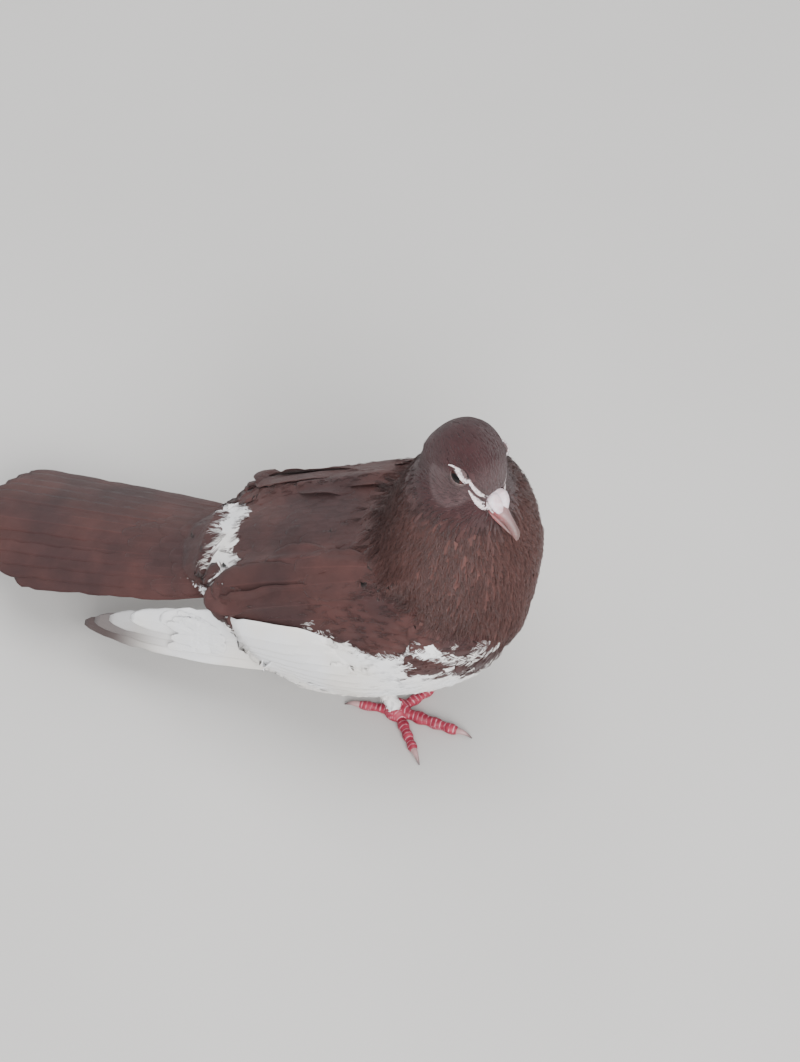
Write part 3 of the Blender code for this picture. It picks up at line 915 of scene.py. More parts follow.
# Root and tip as along and up; step is the rise from one feather to the next, short how far the outer ones
# fall short.
tail = {
    "root": (-80, 62), "tip": (-207, 33), "rootHalf": 25, "tipHalf": 35, "swing": 3.0, "arch": 7.0,
    "slope": -0.225, "pairs": 6, "spread": 0.93, "step": 0.45, "overlap": 0.35,
    "short": {-1: 0.34, 1: 0.12}, "uneven": 0.004,
    "outer": 6.4, "inner": 9.5,
}


def tailSurface(shaftShare, short, lift):
    # the tail's arched top; shaftShare is where this feather's shaft lies across it
    spin = Matrix.Rotation(math.radians(-tail["swing"]), 3, "Z")
    hinge = Vector((tail["root"][0], 0, 0))

    def surface(t, off):
        along = t * (1 - short)
        half = tail["rootHalf"] + (tail["tipHalf"] - tail["rootHalf"]) * along**0.8
        x = tail["root"][0] + (tail["tip"][0] - tail["root"][0]) * along
        across = shaftShare + off / half
        z = tail["root"][1] + (tail["tip"][1] - tail["root"][1]) * along
        z -= tail["arch"] * across**2 + lift * (0.3 + 0.7 * t)
        slope = -2 * tail["arch"] * across / half
        at = Vector((x, half * across, z))
        normal = Vector((tail["slope"], -slope, 1)).normalized()
        return hinge + spin @ (at - hinge), spin @ normal

    return surface


def makeTail():
    feathers = FeatherSet("tail_feathers", 301)
    for k in range(tail["pairs"], 0, -1):
        for hand in (-1, 1):
            share = hand * (k - 0.45) / tail["pairs"] * tail["spread"]
            lift = tail["step"] * (k - 1) + (tail["overlap"] if hand > 0 and k == 1 else 0)
            short = tail["short"][hand] * abs(share) ** 2.2 + tail["uneven"] * feathers.rng.uniform(-1, 1)
            outer, inner = tail["outer"] * (0.9 if k == tail["pairs"] else 1.05), tail["inner"]
            widths = (outer, inner) if hand < 0 else (inner, outer)
            surface = tailSurface(share, short, lift)
            feathers.add(surface, *widths, white=brownMark, blunt=0.90, wear=0.9, base=0.45)
    return feathers.finish("plumage_brown")


# Stations of the folded tip of the wing: along, then out and up for its upper and its lower edge.
wingTip = np.array((
    (-20, 37, 61, 41, 44), (-50, 35, 57, 43, 37), (-80, 32, 48, 43, 31),
    (-112, 29, 38, 40, 26), (-140, 28, 31, 36, 23), (-147, 28, 29, 35, 23),
))
# For each primary, from the inner to the outer: where its tip ends along the body, how far down the wing it
# lies, and its soil.
primaries = {
    "root": -22, "each": (
        (-106, 0.12, 0.0), (-120, 0.24, 0.1), (-130, 0.40, 0.5), (-137, 0.58, 0.9), (-141.5, 0.78, 1.0),
    ),
    "lift": 1.1, "step": 0.34, "outer": 5.0, "inner": 7.5,
}


def primarySurface(hand, tipX, down, lift):
    def surface(t, off):
        x = primaries["root"] + (tipX - primaries["root"]) * t
        row = [np.interp(-x, -wingTip[:, 0], wingTip[:, k]) for k in range(1, 5)]
        top, low = Vector((0, row[0], row[1])), Vector((0, row[2], row[3]))
        edge = low - top
        share = down * (0.35 + 0.65 * min(t * 1.3, 1)) if down < 0.5 else down
        at = top + edge * share - edge.normalized() * off
        out = Vector((0, -edge.z, edge.y)).normalized()
        if out.y < 0:
            out = -out
        at += out * lift
        return Vector((x, hand * at.y, at.z)), Vector((0, hand * out.y, out.z))

    return surface


def makePrimaries(side):
    feathers = FeatherSet(f"primaries_{side}", 310 + sides[side])
    hand = sides[side]
    widths = (primaries["outer"], primaries["inner"])
    for k, (tipX, down, soil) in reversed(list(enumerate(primaries["each"]))):
        surface = primarySurface(hand, tipX, down, primaries["lift"] - primaries["step"] * k)
        feathers.add(surface, *widths, white=whiteMark, soil=soil, blunt=0.74, wear=0.9, base=0.6)
    return feathers.finish("plumage_white")


def evened(values):
    # each value with its neighbours, the ends kept
    middle = [(a + b * 2 + c) / 4 for a, b, c in zip(values, values[1:], values[2:])]
    return [values[0], *middle, values[-1]]


# Points along a draped shaft, how far off the body may be, and how closely its blade follows the body.
drapePlan = {"points": 15, "reach": 30, "near": 12, "closest": 3.0, "overhang": 1.8}


class Drape:
    # lays feathers on the outside of the body

    def __init__(self, tree):
        self.tree = tree

    def point(self, guess, away):
        start = place(*guess) + away * drapePlan["reach"] * mm
        hit, normal, _, _ = self.tree.ray_cast(start, -away, 2 * drapePlan["reach"] * mm)
        return (Vector(toBird(hit)), normal) if hit is not None else (None, None)

    def between(self, root, tip, away, lift):
        middle = tuple((a + b) / 2 for a, b in zip(root, tip))
        return self.surface([root, middle, tip], away, lift)

    def onSide(self, root, tip, bend, out, away, lift, overhang=False):
        # root and tip are along and up on the side of the wing
        middle = ((root[0] + tip[0]) / 2, (root[1] + tip[1]) / 2 + bend)
        return self.surface([(x, out, z) for x, z in (root, middle, tip)], away, lift, overhang)

    def surface(self, stations, away, lift, overhang=False):
        # stations are rough places of the shaft; away is the direction to look from
        count = drapePlan["points"]
        found = [self.point(curveThrough(stations, i / (count - 1)), away) for i in range(count)]
        spine, normals = [at for at, _ in found], [normal for _, normal in found]
        known = [i for i in range(count) if spine[i] is not None]
        if not known:
            return None
        for i in range(count):
            if spine[i] is None:
                near = min(known, key=lambda k: abs(k - i))
                other = known[max(known.index(near) - 2, 0)]
                step = (spine[near] - spine[other]) / max(abs(near - other), 1)
                spine[i] = spine[near] + step * abs(i - near)
                normals[i] = normals[near]
        for i in range(count // 2 + 1, count) if overhang else ():
            # a long feather runs on past the wing's end, it doesn't fold over it
            ahead = spine[i - 1] * 2 - spine[i - 2]
            if (spine[i] - ahead).dot(away) < -0.8:
                spine[i], normals[i] = ahead, normals[i - 1]
        for _ in range(3):
            spine = evened(spine)
            blended = [(a + b + c).normalized() for a, b, c in zip(normals, normals[1:], normals[2:])]
            normals = [normals[0], *blended, normals[-1]]
        tree = self.tree

        def surface(t, off):
            spots = (max(t - 0.03, 0), t, min(t + 0.03, 1))
            before, at, after = (Vector(curveThrough(spine, spot)) for spot in spots)
            normal = Vector(curveThrough(normals, t)).normalized()
            at = at + normal.cross(after - before).normalized() * off
            start = place(*at) + normal * drapePlan["near"] * mm
            hit, found, _, _ = tree.ray_cast(start, -normal, 20 * mm)
            if hit is not None:
                drop = (Vector(toBird(hit)) - at).dot(normal)
                deepest = drapePlan["closest"] - drapePlan["overhang"] * overhang * float(ease(0.5, 0.75, t))
                at = at + normal * min(max(drop, -deepest), drapePlan["closest"])
                if drop > -deepest:
                    normal = (normal * 2 + found).normalized()
            return at + normal * (lift * min(1, 0.25 + 2.2 * t)), normal

        return surface


# Linear colours of the plumage, the bare parts and the floor.
colours = {
    "brown": (0.070, 0.0268, 0.0238),
    "crown": (0.043, 0.0158, 0.0172),
    "neck": (0.107, 0.047, 0.041),
    "dark": (0.041, 0.018, 0.018),
    "cheek": (0.115, 0.078, 0.079),
    "white": (0.880, 0.880, 0.890),
    "cream": (0.840, 0.800, 0.745),
    "soil": (0.070, 0.050, 0.048),
    "pupil": (0.004, 0.003, 0.003),
    "iris": (0.030, 0.008, 0.007),
    "irisStreak": (0.055, 0.013, 0.010),
    "eyeRim": (0.02, 0.012, 0.012),
    "lid": (0.07, 0.044, 0.043),
    "lidLight": (0.14, 0.098, 0.098),
    "powder": (0.90, 0.84, 0.85),
    "powderShade": (0.62, 0.48, 0.49),
    "billSide": (0.36, 0.085, 0.092),
    "billSideTip": (0.20, 0.105, 0.10),
    "billTop": (0.26, 0.155, 0.155),
    "billTopTip": (0.15, 0.095, 0.088),
    "billWorn": (0.36, 0.24, 0.24),
    "cere": (0.84, 0.73, 0.78),
    "cereShade": (0.70, 0.50, 0.54),
    "nostril": (0.10, 0.035, 0.035),
    "foot": (0.22, 0.011, 0.030),
    "footLight": (0.38, 0.040, 0.072),
    "sole": (0.40, 0.14, 0.15),
    "seam": (0.74, 0.38, 0.44),
    "claw": (0.50, 0.30, 0.30),
    "clawShade": (0.38, 0.23, 0.23),
    "clawTip": (0.10, 0.07, 0.07),
    "floor": (0.54, 0.525, 0.505),
    "floorLight": (0.60, 0.585, 0.57),
}


class Shader:
    # a material or a shader group under construction

    def __init__(self, tree):
        self.tree = tree

    def add(self, kind, **settings):
        node = self.tree.nodes.new(kind)
        for key, value in settings.items():
            setattr(node, key, value)
        return node

    def link(self, source, target):
        self.tree.links.new(source, target)

    def feed(self, target, value):
        if isinstance(value, bpy.types.NodeSocket):
            self.link(value, target)
        elif isinstance(value, tuple) and len(value) == 3 and target.type == "RGBA":
            target.default_value = (*value, 1)
        else:
            target.default_value = value

    def math(self, operation, first, second=0.0, third=0.0, clamp=False):
        node = self.add("ShaderNodeMath", operation=operation, use_clamp=clamp)
        for target, value in zip(node.inputs, (first, second, third)):
            self.feed(target, value)
        return node.outputs[0]

    def ease(self, value, low, high, start=0.0, end=1.0):
        node = self.add("ShaderNodeMapRange", interpolation_type="SMOOTHSTEP")
        for target, given in zip(node.inputs, (value, low, high, start, end)):
            self.feed(target, given)
        return node.outputs[0]

    def mix(self, share, first, second, blend="MIX"):
        node = self.add("ShaderNodeMix", data_type="RGBA", blend_type=blend)
        self.feed(node.inputs["Factor"], share)
        self.feed(node.inputs[6], first)
        self.feed(node.inputs[7], second)
        return node.outputs[2]

    def attribute(self, name, output="Fac"):
        return self.add("ShaderNodeAttribute", attribute_name=name).outputs[output]

    def place(self):
        return self.add("ShaderNodeTexCoord").outputs["Object"]

    def noise(self, vector, scale, detail=3.0, roughness=0.5):
        node = self.add("ShaderNodeTexNoise")
        self.link(vector, node.inputs["Vector"])
        node.inputs["Scale"].default_value = scale
        node.inputs["Detail"].default_value = detail
        node.inputs["Roughness"].default_value = roughness
        return node.outputs["Fac"]

    def use(self, group, **values):
        node = self.add("ShaderNodeGroup", node_tree=group)
        for key, value in values.items():
            self.feed(node.inputs[key], value)
        return node.outputs

    def scaled(self, colour, share):
        node = self.add("ShaderNodeVectorMath", operation="SCALE")
        self.link(colour, node.inputs[0])
        self.link(share, node.inputs["Scale"])
        return node.outputs[0]

    def paint(self, colour, height=None, strength=0.5, distance=0.0002):
        # the colour and the fine relief of the material's surface
        self.link(colour, self.surface["Base Color"])
        if height is not None:
            node = self.add("ShaderNodeBump")
            node.inputs["Strength"].default_value = strength
            node.inputs["Distance"].default_value = distance
            self.link(height, node.inputs["Height"])
            self.link(node.outputs[0], self.surface["Normal"])
        return self.material


def shaderGroup(name, inputs, outputs):
    tree = bpy.data.node_groups.new(name, "ShaderNodeTree")
    kinds = {"value": "NodeSocketFloat", "colour": "NodeSocketColor", "vector": "NodeSocketVector"}
    for key, kind in inputs:
        tree.interface.new_socket(key, in_out="INPUT", socket_type=kinds[kind])
    for key, kind in outputs:
        tree.interface.new_socket(key, in_out="OUTPUT", socket_type=kinds[kind])
    return Shader(tree), tree.nodes.new("NodeGroupInput").outputs, tree.nodes.new("NodeGroupOutput").inputs


def newMaterial(name, roughness, sheen=0.0, specular=0.3, subsurface=0.0):
    material = bpy.data.materials.new(name)
    material.use_nodes = True
    shader = Shader(material.node_tree)
    shader.material, shader.surface = material, material.node_tree.nodes["Principled BSDF"].inputs
    values = {"Roughness": roughness, "Specular IOR Level": specular}
    values |= {"Sheen Weight": sheen, "Sheen Roughness": 0.45}
    if subsurface:
        values["Subsurface Weight"] = subsurface
        values["Subsurface Scale"] = 0.0015
        values["Subsurface Radius"] = (1.0, 0.35, 0.25)
    for key, value in values.items():
        shader.surface[key].default_value = value
    return shader


def makePlumageColour():
    # markings of the whole bird: brown, chestnut neck, darker head, white wing, belly and rump
    shader, given, out = shaderGroup(
        "plumageColour",
        (("White", "value"), ("Warm", "value"), ("Head", "value"), ("Neck", "value"), ("Pale", "value"),
         ("Tone", "value"), ("Barb", "value"), ("Soil", "value"), ("Place", "vector")),
        (("Colour", "colour"), ("Mask", "value")),
    )
    broad = shader.noise(given["Place"], 28, 2)
    fine = shader.noise(given["Place"], 130, 3, 0.6)
    brown = shader.mix(shader.ease(broad, 0.35, 0.68), colours["brown"], colours["dark"])
    brown = shader.mix(shader.math("MULTIPLY", given["Neck"], 0.75), brown, colours["dark"])
    brown = shader.mix(given["Warm"], brown, colours["neck"])
    brown = shader.mix(given["Head"], brown, colours["crown"])
    brown = shader.mix(shader.math("MULTIPLY", given["Pale"], 0.8), brown, colours["cheek"])
    value = shader.math("MULTIPLY_ADD", given["Tone"], 0.07, 1.0)
    value = shader.math("MULTIPLY", value, shader.ease(fine, 0.2, 0.8, 0.86, 1.14))
    white = shader.mix(shader.ease(broad, 0.4, 0.7), colours["white"], colours["cream"])
    marked = shader.math("MULTIPLY_ADD", given["Tone"], 0.10, given["White"])
    marked = shader.math("MULTIPLY_ADD", given["Barb"], 0.22, marked)
    mask = shader.ease(marked, 0.45, 0.55)
    white = shader.mix(given["Soil"], white, colours["soil"])
    shader.link(shader.mix(mask, shader.scaled(brown, value), white), out["Colour"])
    shader.link(mask, out["Mask"])
    return shader.tree


def makeBarbs():
    # the fine slanting barbs either side of a shaft
    shader, given, out = shaderGroup(
        "barbs",
        (("Vane", "vector"), ("Count", "value"), ("Slant", "value")),
        (("Stripe", "value"), ("Rim", "value"), ("Shaft", "value"), ("Along", "value")),
    )
    parts = shader.add("ShaderNodeSeparateXYZ")
    shader.link(given["Vane"], parts.inputs[0])
    across = shader.math("ABSOLUTE", parts.outputs["Y"])
    row = shader.math("SUBTRACT", parts.outputs["X"], shader.math("MULTIPLY", across, given["Slant"]))
    wave = shader.math("SINE", shader.math("MULTIPLY", row, given["Count"]))
    shader.link(shader.math("MULTIPLY_ADD", wave, 0.5, 0.5), out["Stripe"])
    end = shader.math("MAXIMUM", across, shader.ease(parts.outputs["X"], 0.6, 1.02))
    shader.link(shader.ease(end, 0.72, 1.0), out["Rim"])
    shader.link(shader.ease(across, 0.06, 0.02), out["Shaft"])
    shader.link(parts.outputs["X"], out["Along"])
    return shader.tree


plumageColour = makePlumageColour()
barbs = makeBarbs()


def coatColour(shader, tone, barb=0.0):
    read = shader.attribute
    return shader.use(
        plumageColour, White=read("white"), Warm=read("warm"), Head=read("headness"), Neck=read("neckness"),
        Pale=read("pale"), Soil=read("soil"), Tone=tone, Barb=barb, Place=shader.place(),
    )


def barbNoise(shader, slant, fine):
    # noise that runs along the barbs of a vane, different on every feather
    parts = shader.add("ShaderNodeSeparateXYZ")
    shader.link(shader.attribute("vane", "Vector"), parts.inputs[0])
    across = shader.math("ABSOLUTE", parts.outputs["Y"])
    row = shader.math("SUBTRACT", parts.outputs["X"], shader.math("MULTIPLY", across, slant))
    side = shader.math("SIGN", parts.outputs["Y"])
    joined = shader.add("ShaderNodeCombineXYZ")
    shader.feed(joined.inputs["X"], shader.math("MULTIPLY", row, fine))
    shader.feed(joined.inputs["Y"], shader.math("MULTIPLY_ADD", side, 3.0, parts.outputs["Z"]))
    shader.feed(joined.inputs["Z"], shader.math("MULTIPLY", shader.attribute("tone"), 40.0))
    return shader.ease(shader.noise(joined.outputs[0], 1.0, 1.0), 0.25, 0.75, -1.0, 1.0)


def makeCoatMaterial(name, count, slant, depth, rim, fine, rootShade=1.0, shaft=0.0):
    # count and slant of the barbs, depth of their relief in metres, lighter rim, fineness of the barbs'
    # noise; rootShade is painted shade, the share of brightness left at each feather's root
    shader = newMaterial(name, 0.62, sheen=0.12)
    colour = coatColour(shader, shader.attribute("tone"), barbNoise(shader, slant, fine))
    marks = shader.use(barbs, Vane=shader.attribute("vane", "Vector"), Count=count, Slant=slant)
    shade = shader.math("MULTIPLY_ADD", marks["Stripe"], 0.12, 0.92)
    shade = shader.math("ADD", shade, shader.math("MULTIPLY", marks["Rim"], rim))
    # painted shade: each feather darker towards its root, where the feathers before it cover it
    shade = shader.math("MULTIPLY", shade, shader.ease(marks["Along"], 0.15, 0.8, rootShade, 1.0))
    onBrown = shader.math("MULTIPLY", shader.math("SUBTRACT", 1.0, colour["Mask"]), marks["Shaft"])
    shade = shader.math("MULTIPLY_ADD", onBrown, shaft, shade)
    shader.link(shader.ease(marks["Stripe"], 0, 1, 0.5, 0.72), shader.surface["Roughness"])
    return shader.paint(shader.scaled(colour["Colour"], shade), marks["Stripe"], 0.5, depth)


def makeSkinMaterial():
    shader = newMaterial("downySkin", 0.8, sheen=0.1)
    tone = shader.ease(shader.noise(shader.place(), 420, 2), 0.3, 0.7, -1, 1)
    return shader.paint(coatColour(shader, tone)["Colour"], shader.noise(shader.place(), 900, 3), 0.6, 0.0004)


finishes = {
    "vane": makeCoatMaterial("contourFeather", 90, 0.35, 0.0002, -0.10, 14),
    "hair": makeCoatMaterial("looseFeather", 14, 0.0, 0.0001, 0.2, 3, rootShade=0.62),
    "down": makeCoatMaterial("downyFeather", 14, 0.0, 0.0001, 0.05, 3),
    "blade": makeCoatMaterial("flightFeather", 420, 0.30, 0.00015, 0.05, 40, shaft=0.16),
    "skin": makeSkinMaterial(),
}


coatTree = scatterTree()
# name: maker, how many shapes, first seed, what differs from the maker's own values
vaneKinds = {
    "smoothVanes": (leafFeather, 4, 40, {"teeth": 0.45}),
    "raggedVanes": (leafFeather, 4, 60, {"teeth": 1.5}),
    "tinyVanes": (leafFeather, 3, 80, {"teeth": 0.9, "rows": 4}),
    "looseTufts": (hairFeather, 4, 100, {}),
    "downTufts": (hairFeather, 3, 120, {"strands": 6, "spread": 50, "thick": 0.05}),
}
vanes = {name: vaneSet(name, *kind) for name, kind in vaneKinds.items()}

skin = makeSkin()
skin.data.materials.append(finishes["skin"])
print(f"skin: {len(skin.data.polygons)} faces")
bodyTree = treeOf(("tail", "wing_tip_right", "wing_tip_left"), (skin,))

# Where each kind of feather may grow, in millimetres from home; a pair is where it begins and is in full.
grounds = {
    "scapulars": {"out": 24.5, "half": 7.5, "along": -42, "reach": 30, "above": 70},
    "shoulder": {"at": (-1, 33, 106), "clear": (3.5, 5)},
    "rear": {"along": (-92.5, -89.5), "flare": 4, "out": (6, 14)},
    "breast": (-2, 14), "belly": 52, "legs": (4.5, 6.5),
    "eye": {"at": (3.2, 6.0), "half": (6.2, 3.0), "clear": (0.9, 1.0)},
    "bill": {"at": (19.5, 0, -3.5), "wide": (1.3, 1, 1), "clear": (4.4, 5.4)},
    "ridges": (0.4, 0.8), "border": 0.75, "borderShare": 1.2,
    "rumpFrom": (-100, -97), "rumpTo": (-70, -74), "rumpAbove": (52, 56),
}


def coatCovers(mesh):
    # how densely each kind of feather grows at each point of the skin
    points = toBird(coordinates(mesh))
    x, y, z = points.T
    keys = ("headness", "neckness", "onWing", "onLeg", "open", "white")
    headness, neckness, onWing, onLeg, opened, white = [readAttribute(mesh, key) for key in keys]
    outward = readAttribute(mesh, "outward", 3)
    right = ease(-1, 1, -y)

    # none on the walls of the grooves, nor under the scapulars, nor at the root of the tail
    strip, shoulder, rear = grounds["scapulars"], grounds["shoulder"], grounds["rear"]
    bare = (np.abs(np.abs(y) - strip["out"]) < strip["half"]) * (np.abs(x - strip["along"]) < strip["reach"])
    bare = bare * (z > strip["above"])
    fromShoulder = np.linalg.norm(np.column_stack((x, np.abs(y), z)) - shoulder["at"], axis=1)
    level = ease(0.55, 0.75, (vertexNormals(mesh) * outward).sum(1))
    level *= (1 - bare) * ease(*shoulder["clear"], fromShoulder)
    behind = ease(*rear["along"], x - rear["flare"] * ease(*rear["out"], np.abs(y)))
    body = (1 - np.maximum.reduce([headness, neckness, onWing, onLeg])) * opened * behind * level
    front, low = ease(*grounds["breast"], x), ease(-3, 3, grounds["belly"] - z)
    neck = neckness * opened

    # the outer face of each wing
    facing = np.abs(outward[:, 1]) * 0.8 + outward[:, 2] * 0.5 - 0.5 * np.maximum(-outward[:, 0], 0)
    wing = onWing * ease(0.0, 0.3, facing)
    wing *= (np.sign(y) * outward[:, 1] > -0.25) * (outward[:, 0] > -0.6)
    wing = wing * opened

    # the head round the eyes, the bill and the white ridges
    eye, gape, onFace = grounds["eye"], grounds["bill"], toHead(points)
    fromEye = np.hypot(*((onFace[:, [0, 2]] - eye["at"]) / eye["half"]).T) + (np.abs(onFace[:, 1]) < 8)
    fromBill = np.linalg.norm((onFace - gape["at"]) / gape["wide"], axis=1)
    face = headness * ease(*eye["clear"], fromEye) * ease(*gape["clear"], fromBill)
    face *= np.maximum(ease(*grounds["ridges"], besideRidges(onFace[:, [0, 2]])), np.abs(onFace[:, 1]) < 3)

    border = (1 - np.abs(white - 0.5) / grounds["border"]) * grounds["borderShare"]
    onRump = (1 - onWing - onLeg) * ease(*grounds["rumpFrom"], x) * ease(*grounds["rumpTo"], x)
    onRump = onRump * ease(*grounds["rumpAbove"], z)
    return {
        "head_coat": face,
        "neck_coat_right": neck * right,
        "neck_coat_left": neck * (1 - right),
        "breast_coat": body * front,
        "back_coat": body * (1 - front) * (1 - low),
        "belly_coat": body * (1 - front) * low,
        "wing_coat_right": wing * level * right,
        "wing_coat_left": wing * level * (1 - right),
        "leg_coat": onLeg * ease(*grounds["legs"], z) * opened,
        "rump_fringe": onRump * border * opened,
        "wing_fringe_right": wing * right * border,
        "wing_fringe_left": wing * (1 - right) * border,
    }


crown = {"Spacing": 0.0009, "Width": 0.5, "Lift": 0.03, "Sway": 0.2}
neckHair = {"Spacing": 0.0015, "Width": 0.9, "Lift": 0.09, "Sway": 0.3}
breastHair = {"Spacing": 0.0019, "Width": 0.9, "Lift": 0.07, "Sway": 0.3}
contour = {"Spacing": 0.0027, "Width": 0.72, "Lift": 0.035}
shield = {"Spacing": 0.0027, "Width": 0.85, "Lift": 0.03}
down = {"Spacing": 0.0020, "Width": 0.8, "Lift": 0.08, "Sway": 0.4}
fringe = {"Spacing": 0.0017, "Long": 0.62, "Width": 0.85, "Lift": 0.09, "Sway": 0.35, "Rooted": 1}
coatPieces = {
    # name: vanes, chart, seed, spacing and turns, finish
    "head_coat": ("tinyVanes", "head", 21, crown, "vane"),
    "neck_coat_right": ("looseTufts", "neck", 22, neckHair, "hair"),
    "neck_coat_left": ("looseTufts", "neck", 23, neckHair, "hair"),
    "breast_coat": ("looseTufts", "body", 24, breastHair, "hair"),
    "back_coat": ("smoothVanes", "body", 25, shield, "vane"),
    "belly_coat": ("raggedVanes", "body", 26, contour, "vane"),
    "wing_coat_right": ("smoothVanes", "wing", 27, shield, "vane"),
    "wing_coat_left": ("smoothVanes", "wing", 28, shield, "vane"),
    "leg_coat": ("downTufts", "leg", 29, down, "down"),
    "rump_fringe": ("looseTufts", "body", 30, fringe, "down"),
    "wing_fringe_right": ("looseTufts", "wing", 31, fringe, "down"),
    "wing_fringe_left": ("looseTufts", "wing", 32, fringe, "down"),
}
covers = coatCovers(skin.data)
for name, plan in coatPieces.items():
    slot = "plumage_white" if name in ("belly_coat", "leg_coat") else "plumage_brown"
    scatterCoat(name, covers[name], *plan, slot)
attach(skin, "root")
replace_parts(skin, *fleshNodes)
print("coat done")


# Secondaries of the folded wing, from the lowest up: root and tip as places along and up.
secondaries = {
    "count": 9, "rootFrom": (20, 52), "rootTo": (-22, 73), "tipFrom": (-44, 41), "tipTo": (-74, 56),
    "outer": 5.4, "inner": 8.0, "out": 40, "bend": -1.5, "lift": 0.7, "step": 0.32,
}
# The tertials above them: root and tip of each.
tertials = {
    "each": (
        ((-22, 77), (-64, 54)), ((-18, 83), (-69, 58)), ((-24, 90), (-75, 63)), ((-30, 95), (-79, 69)),
        ((-36, 97), (-78, 75)),
    ),
    "half": 8.5, "out": 36, "bend": 1.5, "lift": 1.0, "step": 0.25,
}


def makeWingFeathers(side, drape):
    hand = sides[side]
    away = Vector((0, hand * 0.94, 0.34)).normalized()
    plan = secondaries
    feathers = FeatherSet(f"secondaries_{side}", 320 + hand)
    for k in range(plan["count"]):
        share = k / (plan["count"] - 1)
        root = [a + (b - a) * share for a, b in zip(plan["rootFrom"], plan["rootTo"])]
        tip = [a + (b - a) * share for a, b in zip(plan["tipFrom"], plan["tipTo"])]
        lift = plan["lift"] + plan["step"] * k
        surface = drape.onSide(root, tip, plan["bend"], hand * plan["out"], away, lift)
        widths = (plan["outer"], plan["inner"]) if hand > 0 else (plan["inner"], plan["outer"])
        feathers.add(surface, *widths, white=whiteMark, blunt=0.84, wear=0.5, base=0.5)
    feathers.finish("plumage_white")
    feathers = FeatherSet(f"tertials_{side}", 330 + hand)
    away = Vector((0, hand * 0.75, 0.66)).normalized()
    plan, half = tertials, tertials["half"]
    for k, (root, tip) in enumerate(plan["each"]):
        lift = plan["lift"] + plan["step"] * k
        surface = drape.onSide(root, tip, plan["bend"], hand * plan["out"], away, lift, overhang=True)
        feathers.add(surface, half, half, white=brownMark, blunt=0.78, wear=0.8, base=0.45)
    feathers.finish("plumage_brown")


# Rows of coverts over the root of the tail: where they start, length, how many, lift.
tailCoverts = {
    "rows": ((-92, 44, 7, 0.0), (-91, 36, 8, 0.2), (-90, 28, 8, 0.4), (-89, 18, 8, 0.6)),
    "half": 5.6, "lift": 0.4, "root": (22, 66), "tip": (25, 55), "uneven": (2, 0.14, 2.5),
}


def makeTailCoverts(drape):
    feathers, plan = FeatherSet("tail_coverts", 341), tailCoverts
    (rootOut, rootUp), (tipOut, tipUp) = plan["root"], plan["tip"]
    uneven, half = plan["uneven"], plan["half"]
    for rootX, long, count, lift in plan["rows"]:
        for k in sorted(range(count), key=lambda k: -abs(k - (count - 1) / 2)):
            across = (k - (count - 1) / 2) / count * 2
            drift = feathers.rng.uniform(-1, 1, 3)
            root = (rootX + 4 * abs(across) + uneven[0] * drift[0], rootOut * across, rootUp)
            back = long * (1 - 0.2 * abs(across)) * (1 + uneven[1] * drift[1])
            tip = (rootX - back, tipOut * across + uneven[2] * drift[2], tipUp)
            surface = drape.between(root, tip, Vector((0, 0, 1)), plan["lift"] + lift - 0.3 * abs(across))
            feathers.add(surface, half, half, white=brownMark, blunt=0.5, wear=2.2, base=0.6, shaft=0.4)
    return feathers.finish("plumage_brown")


# Scapulars hide the seam between back and wing: root and tip as along, out from the middle, half width, lift.
scapulars = (
    ((-50, 19), (-81, 20), 7.0, 0.4), ((-46, 27), (-76, 27), 7.0, 0.5), ((-40, 20), (-70, 20), 7.5, 0.7),
    ((-34, 28), (-64, 28), 7.5, 0.8), ((-26, 21), (-58, 21), 7.5, 1.0), ((-20, 29), (-52, 29), 7.5, 1.1),
    ((-12, 24), (-44, 23), 8.0, 1.2), ((-11, 30), (-38, 30), 7.5, 1.3),
)


def makeScapulars(side, drape):
    hand = sides[side]
    feathers = FeatherSet(f"scapulars_{side}", 360 + hand)
    away = Vector((0, hand * 0.3, 0.95)).normalized()
    for (rootX, rootY), (tipX, tipY), half, lift in scapulars:
        surface = drape.between((rootX, hand * rootY, 100), (tipX, hand * tipY, 85), away, lift)
        feathers.add(surface, half, half, white=brownMark, blunt=0.6, wear=0.8, base=0.4, shaft=0.2)
    return feathers.finish("plumage_brown")


# Downy cream feathers of the flank, which spill over the root of the wing's tip.
flank = {
    "count": 30, "root": (-72, 33, 44), "spread": (-12, 5, -8), "long": (11, 20), "half": 2.6,
    "lift": 0.6, "liftMore": 1.5,
}


def makeFlankFluff(side, drape):
    hand = sides[side]
    feathers = FeatherSet(f"flank_fluff_{side}", 370 + hand)
    away = Vector((0, hand * 0.7, 0.7)).normalized()
    half, (shortest, longest) = flank["half"], flank["long"]
    for _ in range(flank["count"]):
        a, b, c, d = feathers.rng.uniform(0, 1, 4)
        x, y, z = (at + more * share for at, more, share in zip(flank["root"], flank["spread"], (a, b, b)))
        root = (x, hand * y, z)
        long, yaw = shortest + (longest - shortest) * c, 0.9 * (d - 0.5)
        tip = (root[0] - long * math.cos(yaw), root[1] - hand * 1.5, root[2] - 2 + 0.7 * long * math.sin(yaw))
        surface = drape.between(root, tip, away, flank["lift"] + flank["liftMore"] * a)
        if surface is None:
            continue
        feathers.add(surface, half, half, white=whiteMark, blunt=0.5, wear=3.0, base=0.5, shaft=0.3)
    return feathers.finish("plumage_white")


# Rows of coverts under the root of the tail: where they start, length, how many.
ventCoverts = {
    "rows": ((-84, 48, 5), (-72, 40, 6), (-62, 34, 6)),
    "half": 5.6, "out": 20, "rootUp": 48, "tipUp": 40, "lift": 0.6, "step": 0.5,
}


